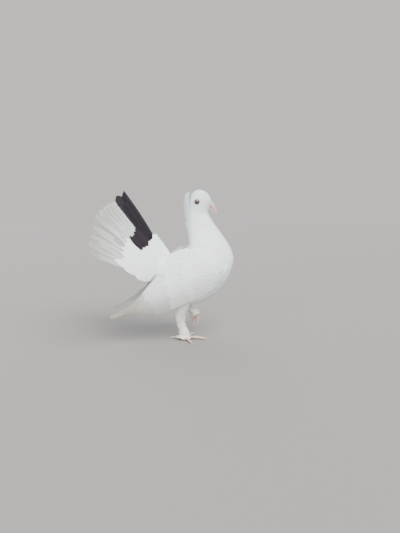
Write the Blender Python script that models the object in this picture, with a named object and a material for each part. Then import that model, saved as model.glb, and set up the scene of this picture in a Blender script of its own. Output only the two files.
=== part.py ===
"""A fantail pigeon at life size, standing on its right foot with the left foot raised.

Lengths in this file are millimetres, and meshes are written in metres.
+X points to the breast, +Y to the bird's left, +Z up.
The origin lies on the floor under the pad of the standing foot.
"""

import math
import random

import bmesh
import bpy
import numpy as np

MM = 0.001
GAP = 0.3
GROWTH = 0.32
FLAT_ANGLE = 1.5
LEFT, RIGHT = 1, -1
SIDE_NAMES = {LEFT: "left", RIGHT: "right"}

# Body: each station is a slanted ellipse from a point on the back to a point on the belly
# Columns are back x, back z, belly x, belly z and half width.
TORSO = [
    (-25, 164, -58, 113, 22),
    (-12, 165, -50, 95, 33),
    (1.5, 170.5, -28, 77, 42),
    (9.8, 178.5, 0, 67, 47),
    (12, 188.5, 30, 70, 48),
    (11.4, 195, 58, 86, 47),
    (10.4, 200.5, 79, 109, 44),
]
NECK = [
    (9.6, 204.5, 91, 135, 40),
    (8.8, 208.5, 94.6, 155, 35.5),
    (7.8, 212.5, 88.5, 175, 30),
    (6.6, 217, 77.5, 193, 25),
    (5.8, 223, 66.5, 208.5, 21),
    (6, 232, 56, 223, 18),
]
HEAD = [
    (7, 241, 49, 234.5, 16.3),
    (8.5, 250, 47.5, 239, 15.6),
    (11, 261, 48, 242, 15.2),
    (15.5, 270.5, 49, 244.5, 14.8),
    (22.5, 277.5, 50, 247, 14.2),
    (31, 280, 51, 249.5, 13.2),
    (40, 278, 52, 252, 11.6),
    (47, 273, 53, 254.5, 9.2),
    (51, 267, 53.6, 257, 6.2),
    (53, 262.5, 53.8, 259.3, 2.6),
]
STATIONS = TORSO + NECK + HEAD
NECK_START = len(TORSO)
HEAD_START = NECK_START + len(NECK)
RING_POINTS = 24

# Eyes, with the ring of bare lid round each
EYE = (27, 11.4, 258)
EYE_RADIUS = 5.2
LID_RADIUS = 4.3
LID_TUBE = 0.9
LID_OUT = 3.7

# Bill: each row is the ridge, the mouth line and the chin line in side view, and a half width
BILL = [
    (47.5, 260.5, 44.5, 251.5, 42.5, 246.5, 4.6),
    (53.8, 259.0, 50.5, 249.0, 48.0, 244.5, 4.1),
    (58.0, 252.5, 54.8, 246.0, 53.0, 242.6, 3.1),
    (61.0, 246.8, 58.6, 242.6, 57.0, 240.0, 2.2),
    (63.2, 241.6, 61.2, 239.6, 60.2, 238.4, 1.3),
]
BILL_HOOK = (63.4, 237.4)
CERE = (54.2, 2.2, 256.6)
CERE_RADII = (4.0, 2.3, 2.6)
NOSTRIL = (56.4, 3.9, 252.9)
NOSTRIL_RADII = (2.2, 0.8, 0.6)

# Crest: a shell of feathers round the back of the head, from nape to tips in side view
CREST_AXIS_X = 28
CREST_SPREAD = 51
CREST_BACK = [(5.0, 224), (3.2, 240), (2.6, 254), (3.3, 265), (5.6, 275)]
CREST_HALF_WIDTH = [19.6, 18.5, 18.2, 18.2, 17.8]
CREST_DEPTH = 4.6
CREST_CORE = 0.4
CREST_ROOT = 0.28
CREST_FEATHERS = 13
CREST_FEATHER_STEP = 8.2
CREST_FEATHER_HALF_WIDTH = 3.6
CREST_UNEVEN = 0.05

# Fan: feathers spread from the rump, high in the middle and lower to the sides
FAN_ROOT = (-30, 24, 152)
FAN_ROOT_BACK = 22
FAN_ROOT_DOWN = 26
FAN_LENGTH = 147
FAN_FULLER = 3.5
FAN_SHORTER = 12
FAN_ELEVATION = 59.5
FAN_DROP = 37.5
FAN_DROP_POWER = 1.28
FAN_RIDGE = 0.15
FAN_SWEEP = 43
FAN_BEND = 4
TAIL_ROOT_HEADING = (-0.86, 0, 0.5)
TAIL_ROOT_LENGTH = 46
TAIL_ROOT_FLATTENS = 0.82
FAN_PAIRS = 14
FAN_VANE_HALF_WIDTH = 12
FAN_MIDLINE = 0.2
FAN_PARTINGS = {RIGHT: {8: 1.0, 9: 1.3, 10: 0.6}, LEFT: {4: 0.7, 9: 0.9}}
FAN_UNEVEN = 0.04
# Wedge that carries the feathers: distance from the root, top and underside about the fan
FAN_WEDGE = [(4, 4, -5), (42, 2.2, -3.4)]

# Tail coverts over and under the fan: length, shortening per feather, height about the fan
COVERTS_OVER = (66, 3, 2.4)
COVERTS_UNDER = (58, 3, -3.4)
COVERT_START = 14
COVERT_STEP = 0.26
COVERTS_EACH_SIDE = 4

# Feathers: plate thickness, and the rise from one overlapping feather to the next
PLATE = 0.6
LAYER = 0.95

# Wing: each row is the low edge and the high edge in side view, how far out the low edge,
# the middle and the high edge stand, and the thickness
WING = [
    (84, 131, 80, 152, 23, 30, 26, 12),
    (60, 108, 60, 166, 35, 46, 41, 15),
    (22, 85, 22, 173, 36.5, 53.5, 42, 18),
    (-20, 66, -20, 160, 37, 50, 27, 20),
    (-58, 57, -52, 118, 38, 46, 33, 9),
    (-95, 53, -90, 82, 38, 42, 36, 2.4),
    (-131, 51, -130, 57, 36.5, 37.5, 36.5, 1.4),
]
# The far wing is drawn out a little behind this place along the body
WING_DRAWN_OUT = {LEFT: 0.08, RIGHT: 0}
WING_DRAWN_BEHIND = -20
WING_CORE_END = 4.4
WING_SKIN = 0.4
WING_MARGIN = 0.07
WING_FEATHER_TILT = 0.09
NARROW_CHORD = 24
WING_EDGE_THICKNESS = 0.22
WING_MIDDLE_THICKNESS = 2.9
# Long wing-tip feathers: root row, and row and height of the tip from the uppermost to the lowest
PRIMARIES = 9
PRIMARY_HALF_WIDTH = 6.5
PRIMARY_ROOT = 3.6
PRIMARY_ROOT_HEIGHTS = (0.8, 0.08)
PRIMARY_TIPS = (4.9, 6.0)
PRIMARY_TIP_HEIGHTS = (0.88, 0.34)
PRIMARY_STEP = 0.085
PRIMARY_SINK = 1.4
# Tiers over the wing: feathers, root row, tip row at the low edge and at the high edge, half width
WING_TIERS = [
    (8, 2.3, 3.75, 4.55, 7.6),
    (7, 1.6, 2.85, 3.35, 8.4),
    (6, 1.0, 2.05, 2.4, 9.4),
]

# Legs: rows are centre, then half width along the body and across it
THIGH_RIGHT = [
    ((1, -18, 84), 16, 11),
    ((0, -16, 70), 13.5, 11),
    ((-3, -12, 56), 10, 9.5),
    ((-4, -8, 43), 9.6, 8.5),
    ((-3.5, -6, 33), 8, 7.5),
]
SHANK_RIGHT = [
    ((-3.5, -6, 32.5), 7, 6.5),
    ((-2, -5, 26), 7.8, 7),
    ((0, -4, 18), 7.6, 7.2),
    ((1.5, -3, 10.5), 8.6, 8),
    ((2, -3, 7.2), 8.6, 8),
]
THIGH_LEFT = [
    ((14, 18, 90), 15, 12),
    ((11, 18, 76), 12.5, 11),
    ((8, 18, 65), 9, 9),
    ((7, 18, 58), 6.5, 6.5),
]
SHANK_LEFT = [
    ((7.6, 18, 56), 5.5, 6),
    ((13, 18, 53.5), 6.5, 6.5),
    ((18.5, 18, 50.5), 6.8, 6.8),
    ((22.5, 18, 47), 6.2, 6.5),
]

# Leg feathers: how many, start row, end row, half width and flare at the tip
LEG_RADIUS = 8
THIGH_TIERS = {
    RIGHT: [(7, 1.9, 3.2, 3.4, 0.8)],
    LEFT: [(5, 0.9, 2.1, 3.4, 0.8)],
}
SHANK_TIERS = {
    RIGHT: [(5, 1.0, 2.5, 3.0, 1.2), (7, 2.2, 3.9, 3.2, 5.5)],
    LEFT: [(6, 1.0, 2.8, 2.8, 1.6)],
}

# Feet: toe rows are heading in degrees, length and radius
FOOT_RIGHT = (2, -3, 2.2)
BALL_RADII = (6.2, 6.4, 5.0)
TOES_RIGHT = [(172, 21, 2.2), (54, 29, 2.4), (-6, 38, 2.7), (-62, 30, 2.4)]
TOE_SINK = 0.35
TOE_ARCH = 1.2
# Pads and joints along a toe: fraction of its length and of its radius
TOE_PADS = [(0, 1.25), (0.3, 1.0), (0.42, 0.88), (0.62, 1.02), (0.78, 0.82), (0.93, 0.88), (1, 0.5)]
FOOT_LEFT = (24, 18, 43.5)
TOE_TIPS_LEFT = [(11.5, 14, 35), (15, 26, 28), (20.5, 17, 23), (27, 11, 29)]
TOE_RADII_LEFT = [2.0, 2.2, 2.5, 2.2]
TOE_CURL = 3.5
CLAW_LENGTH = 7.5
CLAW_RADIUS = 1.5
CLAW_TAPER = 0.85
CLAW_TIP = 0.12
CLAW_DROOP_LEFT = (-1.2, 0, -0.6)

WHITE = (0.80, 0.82, 0.80, 1)
FLESH = (0.72, 0.50, 0.48, 1)
DARK_EYE = (0.05, 0.03, 0.04, 1)
HORN = (0.70, 0.62, 0.56, 1)


def smooth(rows, t):
    """Catmull-Rom curve through the rows at parameter t, counted in rows."""
    rows = np.asarray(rows, float)
    last = len(rows) - 1
    t = min(max(t, 0.0), float(last))
    i = min(int(t), last - 1)
    f = t - i
    a, b = rows[max(i - 1, 0)], rows[i]
    c, d = rows[i + 1], rows[min(i + 2, last)]
    return 0.5 * (
        2 * b + (c - a) * f + (2 * a - 5 * b + 4 * c - d) * f * f + (3 * b - a - 3 * c + d) * f ** 3
    )


def between(ends, f):
    return ends[0] + (ends[1] - ends[0]) * f


def unit(v):
    v = np.asarray(v, float)
    return v / np.linalg.norm(v)


def mesh_object(name, points, faces):
    """An object of triangles from points in millimetres, with its faces turned outwards."""
    mesh = bpy.data.meshes.new(name)
    mesh.from_pydata([tuple(MM * float(c) for c in p) for p in points], [], faces)
    work = bmesh.new()
    work.from_mesh(mesh)
    bmesh.ops.triangulate(work, faces=work.faces, quad_method="SHORT_EDGE")
    bmesh.ops.recalc_face_normals(work, faces=work.faces)
    work.to_mesh(mesh)
    work.free()
    obj = bpy.data.objects.new(name, mesh)
    bpy.context.scene.collection.objects.link(obj)
    return obj


def loft(name, rings):
    """A closed skin over rings of points, with a flat face at each end."""
    count = len(rings[0])
    points = [p for ring in rings for p in ring]
    faces = []
    for r in range(len(rings) - 1):
        for k in range(count):
            here, after = r * count, (r + 1) * count
            n = (k + 1) % count
            faces.append((here + k, here + n, after + n, after + k))
    faces.append(tuple(range(count)))
    faces.append(tuple((len(rings) - 1) * count + k for k in range(count)))
    return mesh_object(name, points, faces)


def limb_frame(rows, t):
    """Centre, forward and sideways directions and half widths of a limb at row t."""
    flat = [(*centre, a, b) for centre, a, b in rows]
    here = smooth(flat, t)
    axis = unit(smooth(flat, t + 0.25)[:3] - smooth(flat, t - 0.25)[:3])
    across = unit(np.cross(axis, (1, 0, 0.2)))
    return here[:3], np.cross(across, axis), across, here[3], here[4]


def limb_point(rows, t, turn, out):
    """A point on a limb at row t, turn degrees round from the front, out mm off the skin."""
    centre, fore, across, a, b = limb_frame(rows, t)
    angle = math.radians(turn)
    return centre + fore * (a + out) * math.cos(angle) + across * (b + out) * math.sin(angle)


def tube(name, rows, sides=12, steps=2):
    """A loft along a bent centre line; rows are centre, half width along X and across."""
    count = (len(rows) - 1) * steps
    turns = [360 * j / sides for j in range(sides)]
    rings = [[limb_point(rows, k / steps, turn, 0) for turn in turns] for k in range(count + 1)]
    return loft(name, rings)


def vane(place, rows, columns):
    """One feather as a closed plate.

    place(f, t, h) gives a point from the fraction along the feather, the distance sideways and
    the height; rows are fraction, half width, low face height and high face height.
    Both faces are split into triangles alike, so they never cross.
    """
    points, faces = [], []
    wide = columns + 1
    for f, half, low, high in rows:
        spots = [half * (2 * j / columns - 1) for j in range(wide)]
        points += [place(f, t, high) for t in spots]
        points += [place(f, t, low) for t in spots]
    ring = 2 * wide
    for r in range(len(rows) - 1):
        here, after = r * ring, (r + 1) * ring
        for j in range(columns):
            for face in (0, wide):
                a, b = here + face + j, here + face + j + 1
                c, d = after + face + j + 1, after + face + j
                faces += [(a, b, c), (a, c, d)]
        for j in (0, columns):
            faces.append((here + j, after + j, after + wide + j, here + wide + j))
    for end in (0, (len(rows) - 1) * ring):
        for j in range(columns):
            faces.append((end + j, end + j + 1, end + wide + j + 1, end + wide + j))
    return mesh_object("vane", points, faces)


def ellipsoid(name, centre, radii, tilt=0.0, around=10):
    """A rounded lump, tilted in side view by an angle in degrees."""
    work = bmesh.new()
    bmesh.ops.create_uvsphere(work, u_segments=around, v_segments=around // 2 + 1, radius=1)
    turn = math.radians(tilt)
    for v in work.verts:
        x, y, z = v.co.x * radii[0], v.co.y * radii[1], v.co.z * radii[2]
        v.co = (
            MM * (centre[0] + x * math.cos(turn) + z * math.sin(turn)),
            MM * (centre[1] + y),
            MM * (centre[2] - x * math.sin(turn) + z * math.cos(turn)),
        )
    mesh = bpy.data.meshes.new(name)
    work.to_mesh(mesh)
    work.free()
    obj = bpy.data.objects.new(name, mesh)
    bpy.context.scene.collection.objects.link(obj)
    return obj


def rehome(obj, collection):
    for home in list(obj.users_collection):
        home.objects.unlink(obj)
    collection.objects.link(obj)


def applied(obj):
    """Bake the object's modifiers into its mesh and keep its largest closed surface."""
    bpy.context.view_layer.update()
    mesh = bpy.data.meshes.new_from_object(obj.evaluated_get(bpy.context.evaluated_depsgraph_get()))
    obj.modifiers.clear()
    obj.data = mesh
    work = bmesh.new()
    work.from_mesh(mesh)
    left = set(work.verts)
    groups = []
    while left:
        seed = left.pop()
        group, edge = {seed}, [seed]
        while edge:
            for link in edge.pop().link_edges:
                for v in link.verts:
                    if v in left:
                        left.remove(v)
                        group.add(v)
                        edge.append(v)
        groups.append(group)
    keep = max(groups, key=lambda g: spread(g))
    for group in groups:
        if group is not keep:
            bmesh.ops.delete(work, geom=list(group), context="VERTS")
    bmesh.ops.dissolve_limit(work, angle_limit=math.radians(FLAT_ANGLE), verts=work.verts, edges=work.edges)
    bmesh.ops.triangulate(work, faces=work.faces)
    work.to_mesh(mesh)
    work.free()
    return obj


def spread(verts):
    """Diagonal of the box round some vertices."""
    points = np.array([v.co[:] for v in verts])
    return float(np.linalg.norm(points.max(axis=0) - points.min(axis=0)))


def fuse(name, pieces, solver="MANIFOLD"):
    """Join overlapping closed pieces into the first one."""
    base, rest = pieces[0], pieces[1:]
    base.name = name
    if not rest:
        return base
    group = bpy.data.collections.new(name + "_pieces")
    bpy.context.scene.collection.children.link(group)
    for piece in rest:
        rehome(piece, group)
    union = base.modifiers.new("union", "BOOLEAN")
    union.operation = "UNION"
    union.operand_type = "COLLECTION"
    union.collection = group
    union.solver = solver
    applied(base)
    for piece in rest:
        bpy.data.objects.remove(piece)
    bpy.data.collections.remove(group)
    return base


def cut(obj, cutter, solver="EXACT"):
    """Take the cutter's space out of the object; the cutter stays, hidden."""
    if cutter.name not in cutters.objects:
        rehome(cutter, cutters)
        cutter.hide_render = True
        cutter.display_type = "WIRE"
    change = obj.modifiers.new("cut", "BOOLEAN")
    change.operation = "DIFFERENCE"
    change.object = cutter
    change.solver = solver
    return applied(obj)


def material(name, colour, roughness):
    mat = bpy.data.materials.new(name)
    mat.use_nodes = True
    shader = mat.node_tree.nodes["Principled BSDF"]
    shader.inputs["Base Color"].default_value = colour
    shader.inputs["Roughness"].default_value = roughness
    shader.inputs["Metallic"].default_value = 0.0
    return mat


def finish(obj, colour, roughness=0.8):
    """Give the node its material and collection, and shade it smooth between sharp edges."""
    obj.data.materials.clear()
    obj.data.materials.append(material(obj.name + "_material", colour, roughness))
    obj.data.shade_smooth()
    obj.data.set_sharp_from_angle(angle=math.radians(40))
    rehome(obj, parts)
    return obj


def body_ring(t, shift=0.0):
    """The body's slanted section at station t, shifted along the body."""
    bx, bz, vx, vz, width = smooth(STATIONS, t)
    back, belly = np.array((bx, 0, bz)), np.array((vx, 0, vz))
    middle, half = (back + belly) / 2, (back - belly) / 2
    up = unit(half)
    along = np.cross((0, 1, 0), up)
    ring = []
    for k in range(RING_POINTS):
        turn = 2 * math.pi * k / RING_POINTS
        side = width * math.sin(turn)
        ring.append(middle + half * math.cos(turn) + along * shift + np.array((0, side, 0)))
    return ring


def body_piece(name, first, last, rings):
    """The body from one station to another, ending half a gap short of the next piece."""
    steps = [first + (last - first) * k / rings for k in range(rings + 1)]
    shifts = [GAP / 2] + [0.0] * (rings - 1) + [-GAP / 2]
    return loft(name, [body_ring(t, s) for t, s in zip(steps, shifts)])


def grown(obj):
    """A cutter that is the object with every point moved out by the gap."""
    mesh = obj.data.copy()
    work = bmesh.new()
    work.from_mesh(mesh)
    work.normal_update()
    moves = [v.normal * GROWTH * MM * v.calc_shell_factor() for v in work.verts]
    for v, move in zip(work.verts, moves):
        v.co += move
    work.to_mesh(mesh)
    work.free()
    cutter = bpy.data.objects.new(obj.name + "_space", mesh)
    bpy.context.scene.collection.objects.link(cutter)
    return cutter


def eye_ball(name, side, grow=0.0):
    return ellipsoid(name, (EYE[0], side * EYE[1], EYE[2]), [EYE_RADIUS + grow] * 3, 0, 14)


def make_head():
    """The head with a raised lid round each eye and a socket that clears the eyeball."""
    head = body_piece("head", HEAD_START, len(STATIONS) - 1, 14)
    space = grown(head)
    pieces = [head]
    for side in (LEFT, RIGHT):
        bpy.ops.mesh.primitive_torus_add(
            major_segments=16,
            minor_segments=6,
            major_radius=LID_RADIUS * MM,
            minor_radius=LID_TUBE * MM,
            location=(EYE[0] * MM, side * (EYE[1] + LID_OUT) * MM, EYE[2] * MM),
            rotation=(math.radians(90), 0, 0),
        )
        pieces.append(bpy.context.object)
    head = fuse("head", pieces)
    for side in (LEFT, RIGHT):
        cut(head, eye_ball("socket_" + SIDE_NAMES[side], side, GAP))
    finish(head, WHITE)
    for side in (LEFT, RIGHT):
        finish(eye_ball("eye_" + SIDE_NAMES[side], side), DARK_EYE, 0.1)
    return space


def bill_ring(top, bottom, width):
    """Section of one half of the bill between two points in side view."""
    top, bottom = np.array((top[0], 0, top[1])), np.array((bottom[0], 0, bottom[1]))
    middle, half = (top + bottom) / 2, (top - bottom) / 2
    ring = []
    for k in range(12):
        turn = 2 * math.pi * k / 12
        ring.append(middle + half * math.cos(turn) + np.array((0, width * math.sin(turn), 0)))
    return ring


def make_bill(head_cutter):
    """Two mandibles that part along the mouth line; the upper one hooks over and has nostrils."""
    steps = [k / 2 for k in range(2 * len(BILL) - 1)]
    upper, lower = [], []
    for t in steps:
        rx, rz, mx, mz, cx, cz, width = smooth(BILL, t)
        mouth = unit((cx - rx, cz - rz)) * GAP / 2
        upper.append(bill_ring((rx, rz), (mx - mouth[0], mz - mouth[1]), width))
        lower.append(bill_ring((mx + mouth[0], mz + mouth[1]), (cx, cz), width * 0.9))
    hook = np.array((BILL_HOOK[0], 0, BILL_HOOK[1]))
    upper.append([hook + (p - np.mean(upper[-1], axis=0)) * 0.3 for p in upper[-1]])
    pieces = [loft("bill_upper", upper)]
    for side in (LEFT, RIGHT):
        pieces.append(ellipsoid("cere", (CERE[0], side * CERE[1], CERE[2]), CERE_RADII, 58))
    bill = fuse("bill_upper", pieces)
    for side in (LEFT, RIGHT):
        spot = (NOSTRIL[0], side * NOSTRIL[1], NOSTRIL[2])
        cut(bill, ellipsoid("nostril_cutter_" + SIDE_NAMES[side], spot, NOSTRIL_RADII, 50))
    finish(cut(bill, head_cutter), FLESH, 0.5)
    finish(cut(loft("bill_lower", lower), head_cutter), FLESH, 0.5)


def crest_point(turn, rise, out):
    """A point of the crest: turn in degrees round the head, rise from 0 to 1, out in mm."""
    t = rise * (len(CREST_BACK) - 1)
    x, z = smooth(CREST_BACK, t)
    wide = float(smooth([(w,) for w in CREST_HALF_WIDTH], t)[0])
    angle = math.radians(turn)
    reach = CREST_AXIS_X - x
    return np.array(
        (CREST_AXIS_X - (reach + out) * math.cos(angle), (wide + out) * math.sin(angle), z)
    )


def crest_feather(turn):
    """One crest feather, on top of its neighbour further from the middle."""
    tip = 1 + CREST_UNEVEN * (dice.random() - 0.5 - (turn / CREST_SPREAD) ** 2)

    def place(f, t, h):
        rise = CREST_ROOT + (tip - CREST_ROOT) * f
        spin = turn + math.degrees(t / (CREST_AXIS_X - CREST_BACK[-1][0]))
        lift = LAYER * (abs(spin) - abs(turn)) / CREST_FEATHER_STEP
        return crest_point(spin, rise, lift + h)

    w = CREST_FEATHER_HALF_WIDTH
    rows = [(0, 0.8 * w, -0.6, 0), (0.5, w, -0.6, 0), (0.9, 0.8 * w, -0.55, 0), (1, 0.3 * w, -0.45, 0)]
    return vane(place, rows, 1)


def make_crest(cutters_here):
    """A low band round the nape that carries the crest's standing feathers."""
    turns = [CREST_SPREAD * (k / 6 - 1) for k in range(13)]
    rises = [0, CREST_CORE / 2, CREST_CORE]
    outer = [[crest_point(a, r, 0.6) for a in turns] for r in rises]
    inner = [[crest_point(a, r, -CREST_DEPTH) for a in turns] for r in rises]
    pieces = [loft("crest", [o + i[::-1] for o, i in zip(outer, inner)])]
    middle = CREST_FEATHERS // 2
    for k in range(CREST_FEATHERS):
        pieces.append(crest_feather(CREST_FEATHER_STEP * (k - middle)))
    crest = fuse("crest", pieces)
    for cutter in cutters_here:
        cut(crest, cutter)
    finish(crest, WHITE)


def fan_root(a):
    fall = abs(a) ** 1.3
    return np.array((FAN_ROOT[0] - FAN_ROOT_BACK * fall, FAN_ROOT[1] * a, FAN_ROOT[2] - FAN_ROOT_DOWN * fall))


def fan_heading(a):
    fall = (a * a + FAN_RIDGE ** 2) ** (FAN_DROP_POWER / 2) - FAN_RIDGE ** FAN_DROP_POWER
    elevation = math.radians(FAN_ELEVATION - FAN_DROP * fall)
    sweep = math.radians(FAN_SWEEP * a)
    flat = math.cos(elevation)
    return np.array((-flat * math.cos(sweep), flat * math.sin(sweep), math.sin(elevation)))


def fan_line(a, s):
    return fan_root(a) + fan_heading(a) * s


def fan_scale(a, s):
    """How many mm across the fan one unit of a spans."""
    return float(np.linalg.norm(fan_line(a + 0.01, s) - fan_line(a - 0.01, s))) / 0.02


def fan_point(a, s, h):
    """A point of the fan: a from -1 to 1 across it, s along a feather, h above its face."""
    across = fan_line(a + 0.01, s) - fan_line(a - 0.01, s)
    normal = unit(np.cross(across, fan_heading(a)))
    f = s / FAN_LENGTH
    return fan_line(a, s) + normal * (h + FAN_BEND * 4 * f * (1 - f))


def half_fan_point(side, a, s, h):
    """A point of one half of the fan, kept clear of the other half."""
    point = fan_point(side * max(a, 0), s, h)
    point[1] = side * max(side * point[1], FAN_MIDLINE)
    return point


def fan_length(a):
    """Length of a tail feather: a little fuller half way out, and shortest at the side."""
    return FAN_LENGTH + FAN_FULLER * math.sin(math.pi * abs(a)) - FAN_SHORTER * abs(a) ** 5


def fan_places(side):
    """Where each feather of one side lies across the fan, at its root and at its tip."""
    extra, widest = [], 0.0
    for i in range(FAN_PAIRS):
        extra.append(widest)
        widest += FAN_PARTINGS[side].get(i, 0)
    whole = FAN_PAIRS - 0.5
    return [((i + 0.5) / whole, (i + 0.5 + e) / (whole + widest)) for i, e in enumerate(extra)]


def tail_feather(side, i, root_a, tip_a):
    """One of the long tail feathers; each lies on top of the next one out."""
    length = fan_length(tip_a) * (1 + FAN_UNEVEN * (dice.random() - 0.5))
    half = FAN_VANE_HALF_WIDTH * (1 - 0.15 * i / FAN_PAIRS)
    step = 1 / (FAN_PAIRS - 0.5)

    def place(f, t, h):
        a = root_a + (tip_a - root_a) * f * f + t / fan_scale(root_a, f * length)
        lift = LAYER * (max(a, 0) / step - (i + 0.5))
        return half_fan_point(side, a, f * length, h + lift)

    p = PLATE / 2
    rows = [(0.24, 0.5 * half, -p, p), (0.6, 0.95 * half, -p, p), (0.91, 0.92 * half, -p, p),
            (1, 0.36 * half, -0.7 * p, 0.7 * p)]
    return vane(place, rows, 2)


def tail_covert(side, i, kind):
    """A shorter feather over the fan's base, or one under it."""
    longest, shorter, height = kind
    a0 = COVERT_STEP * (i + 0.5)
    length = longest - shorter * i + 4 * dice.random()

    def place(f, t, h):
        s = COVERT_START + (length - COVERT_START) * f
        a = a0 + t / fan_scale(a0, s)
        lift = LAYER * (max(a, 0) - a0) / COVERT_STEP
        return half_fan_point(side, a, s, height + h + math.copysign(lift, height * lift))

    rows = [(0, 5, -PLATE, 0), (0.8, 9, -PLATE, 0), (1, 3, -PLATE, 0)]
    return vane(place, rows, 2)


def make_tail(side, torso_cutter):
    """Half of the rump's rounded root with a wedge inside the fan and every feather of that side."""
    places = [k / 8 for k in range(9)]
    rings = []
    for s, top, low in FAN_WEDGE:
        high = [half_fan_point(side, a, s, top) for a in places]
        under = [half_fan_point(side, a, s, low) for a in places]
        rings.append(high + under[::-1])
    pieces = [tail_root(side), loft("fan_wedge", rings)]
    for i, (root_a, tip_a) in enumerate(fan_places(side)):
        pieces.append(tail_feather(side, i, root_a, tip_a))
    for i in range(COVERTS_EACH_SIDE):
        pieces.append(tail_covert(side, i, COVERTS_OVER))
        pieces.append(tail_covert(side, i, COVERTS_UNDER))
    tail = fuse("tail_" + SIDE_NAMES[side], pieces)
    finish(cut(tail, torso_cutter), WHITE)


def tail_root(side):
    """Half of a dome that carries on from the body's rear section and flattens into the fan."""
    ring = np.array(body_ring(0, -GAP / 2))
    middle = ring.mean(axis=0)
    heading = unit(TAIL_ROOT_HEADING)
    rings = []
    for k in range(6):
        f = k / 5
        squeeze = 1 - TAIL_ROOT_FLATTENS * f ** 1.6
        widen = 1 + 0.35 * f - 0.55 * f ** 3
        moved = []
        for p in ring:
            off = p - middle
            off *= (squeeze, widen, squeeze)
            off[1] = side * max(side * off[1], FAN_MIDLINE)
            moved.append(middle + heading * TAIL_ROOT_LENGTH * f + off)
        rings.append(moved)
    return loft("tail_root", rings)


def wing_point(side, u, v, h):
    """A point of the folded wing: u in rows from shoulder to tip, v from low to high edge."""
    lx, lz, hx, hz, low, mid, high, _ = smooth(WING, u)
    out = low * (1 - v) * (1 - 2 * v) + mid * 4 * v * (1 - v) + high * v * (2 * v - 1)
    x = lx + (hx - lx) * v
    x += WING_DRAWN_OUT[side] * min(x - WING_DRAWN_BEHIND, 0)
    return np.array((x, side * (out + h), lz + (hz - lz) * v))


def wing_chord(u):
    return float(np.linalg.norm(wing_point(RIGHT, u, 1, 0) - wing_point(RIGHT, u, 0, 0)))


def primary(side, i):
    """A long feather of the wing tip; the upper ones lie outside the lower ones."""
    k = i / (PRIMARIES - 1)
    tip_u = between(PRIMARY_TIPS, k ** 0.85)
    tip_v = between(PRIMARY_TIP_HEIGHTS, k)
    root_v = between(PRIMARY_ROOT_HEIGHTS, k)

    def place(f, t, h):
        u = between((PRIMARY_ROOT, tip_u), f)
        v = between((root_v, tip_v), f) + t / max(wing_chord(u), NARROW_CHORD)
        lift = 0.9 * LAYER * ((PRIMARY_ROOT_HEIGHTS[0] - v) / PRIMARY_STEP - i)
        return wing_point(side, u, v, h - PRIMARY_SINK + lift * (0.35 + 0.65 * f))

    w = PRIMARY_HALF_WIDTH
    p = PLATE / 2
    rows = [(0, 0.8 * w, -p, p), (0.5, 0.95 * w, -p, p), (0.86, 0.7 * w, -p, p),
            (1, 0.2 * w, -0.8 * p, 0.8 * p)]
    return vane(place, rows, 1)


def wing_feather(side, tier, i):
    """A feather of one tier, sunk in the wing at its root and standing off at its tip."""
    count, root_u, low_u, high_u, half = WING_TIERS[tier]
    v0 = between((WING_MARGIN, 1 - WING_MARGIN), i / (count - 1))
    tip_u = between((low_u, high_u), v0) + 0.06 * (dice.random() - 0.5)

    def place(f, t, h):
        u = between((root_u, tip_u), f)
        v = v0 + t / max(wing_chord(u), NARROW_CHORD)
        return wing_point(side, u, v, h - WING_FEATHER_TILT * t)

    rows = [(0, 0.8 * half, -1.8, -1.0), (0.8, half, 0.1, 0.9), (1, 0.36 * half, 0.7, 1.25)]
    return vane(place, rows, 1)


def make_wing(side, cutters_here):
    """The folded wing: a solid arm that thins to the rear, with its feathers in tiers."""
    steps = [WING_CORE_END * k / 7 for k in range(8)]
    places = [k / 5 for k in range(6)]
    rings = []
    for u in steps:
        thick = float(smooth([(row[7],) for row in WING], u)[0])
        outer = [wing_point(side, u, v, -WING_SKIN) for v in places]
        depths = [thick * (WING_EDGE_THICKNESS + WING_MIDDLE_THICKNESS * v * (1 - v)) for v in places]
        inner = [wing_point(side, u, v, -WING_SKIN - d) for v, d in zip(places, depths)]
        rings.append(outer + inner[::-1])
    pieces = [loft("wing", rings)]
    pieces += [primary(side, i) for i in range(PRIMARIES)]
    for tier, row in enumerate(WING_TIERS):
        pieces += [wing_feather(side, tier, i) for i in range(row[0])]
    wing = fuse("wing_" + SIDE_NAMES[side], pieces)
    for cutter in cutters_here:
        cut(wing, cutter)
    finish(wing, WHITE)


def leg_feather(rows, start, end, turn, half, flare):
    """A narrow feather lying down a leg, its tip standing off the skin."""

    def place(f, t, h):
        at = start + (end - start) * f
        spin = turn + math.degrees(t / LEG_RADIUS)
        return limb_point(rows, at, spin, h + flare * f * f)

    shape = [(0, 0.6 * half, -1.6, -0.9), (0.5, half, -0.8, 0.3), (1, 0.3 * half, -0.1, 0.5)]
    return vane(place, shape, 1)


def leg_feathers(rows, tiers):
    """Tiers are feather count, start row, end row, half width and flare at the tip."""
    made = []
    for tier, (count, start, end, half, flare) in enumerate(tiers):
        for k in range(count):
            turn = 360 * (k + 0.5 * (tier % 2)) / count
            stop = end + 0.12 * (dice.random() - 0.5)
            made.append(leg_feather(rows, start, stop, turn, half, flare))
    return made


def make_leg(side, thigh_rows, shank_rows, torso_cutter, foot_cutter):
    """The feathered drumstick and the muffed shank below it."""
    name = SIDE_NAMES[side]
    core = tube("thigh_" + name, thigh_rows)
    thigh_space = grown(core)
    thigh = fuse("thigh_" + name, [core] + leg_feathers(thigh_rows, THIGH_TIERS[side]))
    finish(cut(thigh, torso_cutter), WHITE)
    core = tube("shank_" + name, shank_rows, 10, 1)
    shank = fuse("shank_" + name, [core] + leg_feathers(shank_rows, SHANK_TIERS[side]))
    cut(shank, foot_cutter)
    cut(shank, thigh_space)
    finish(shank, WHITE)


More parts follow.
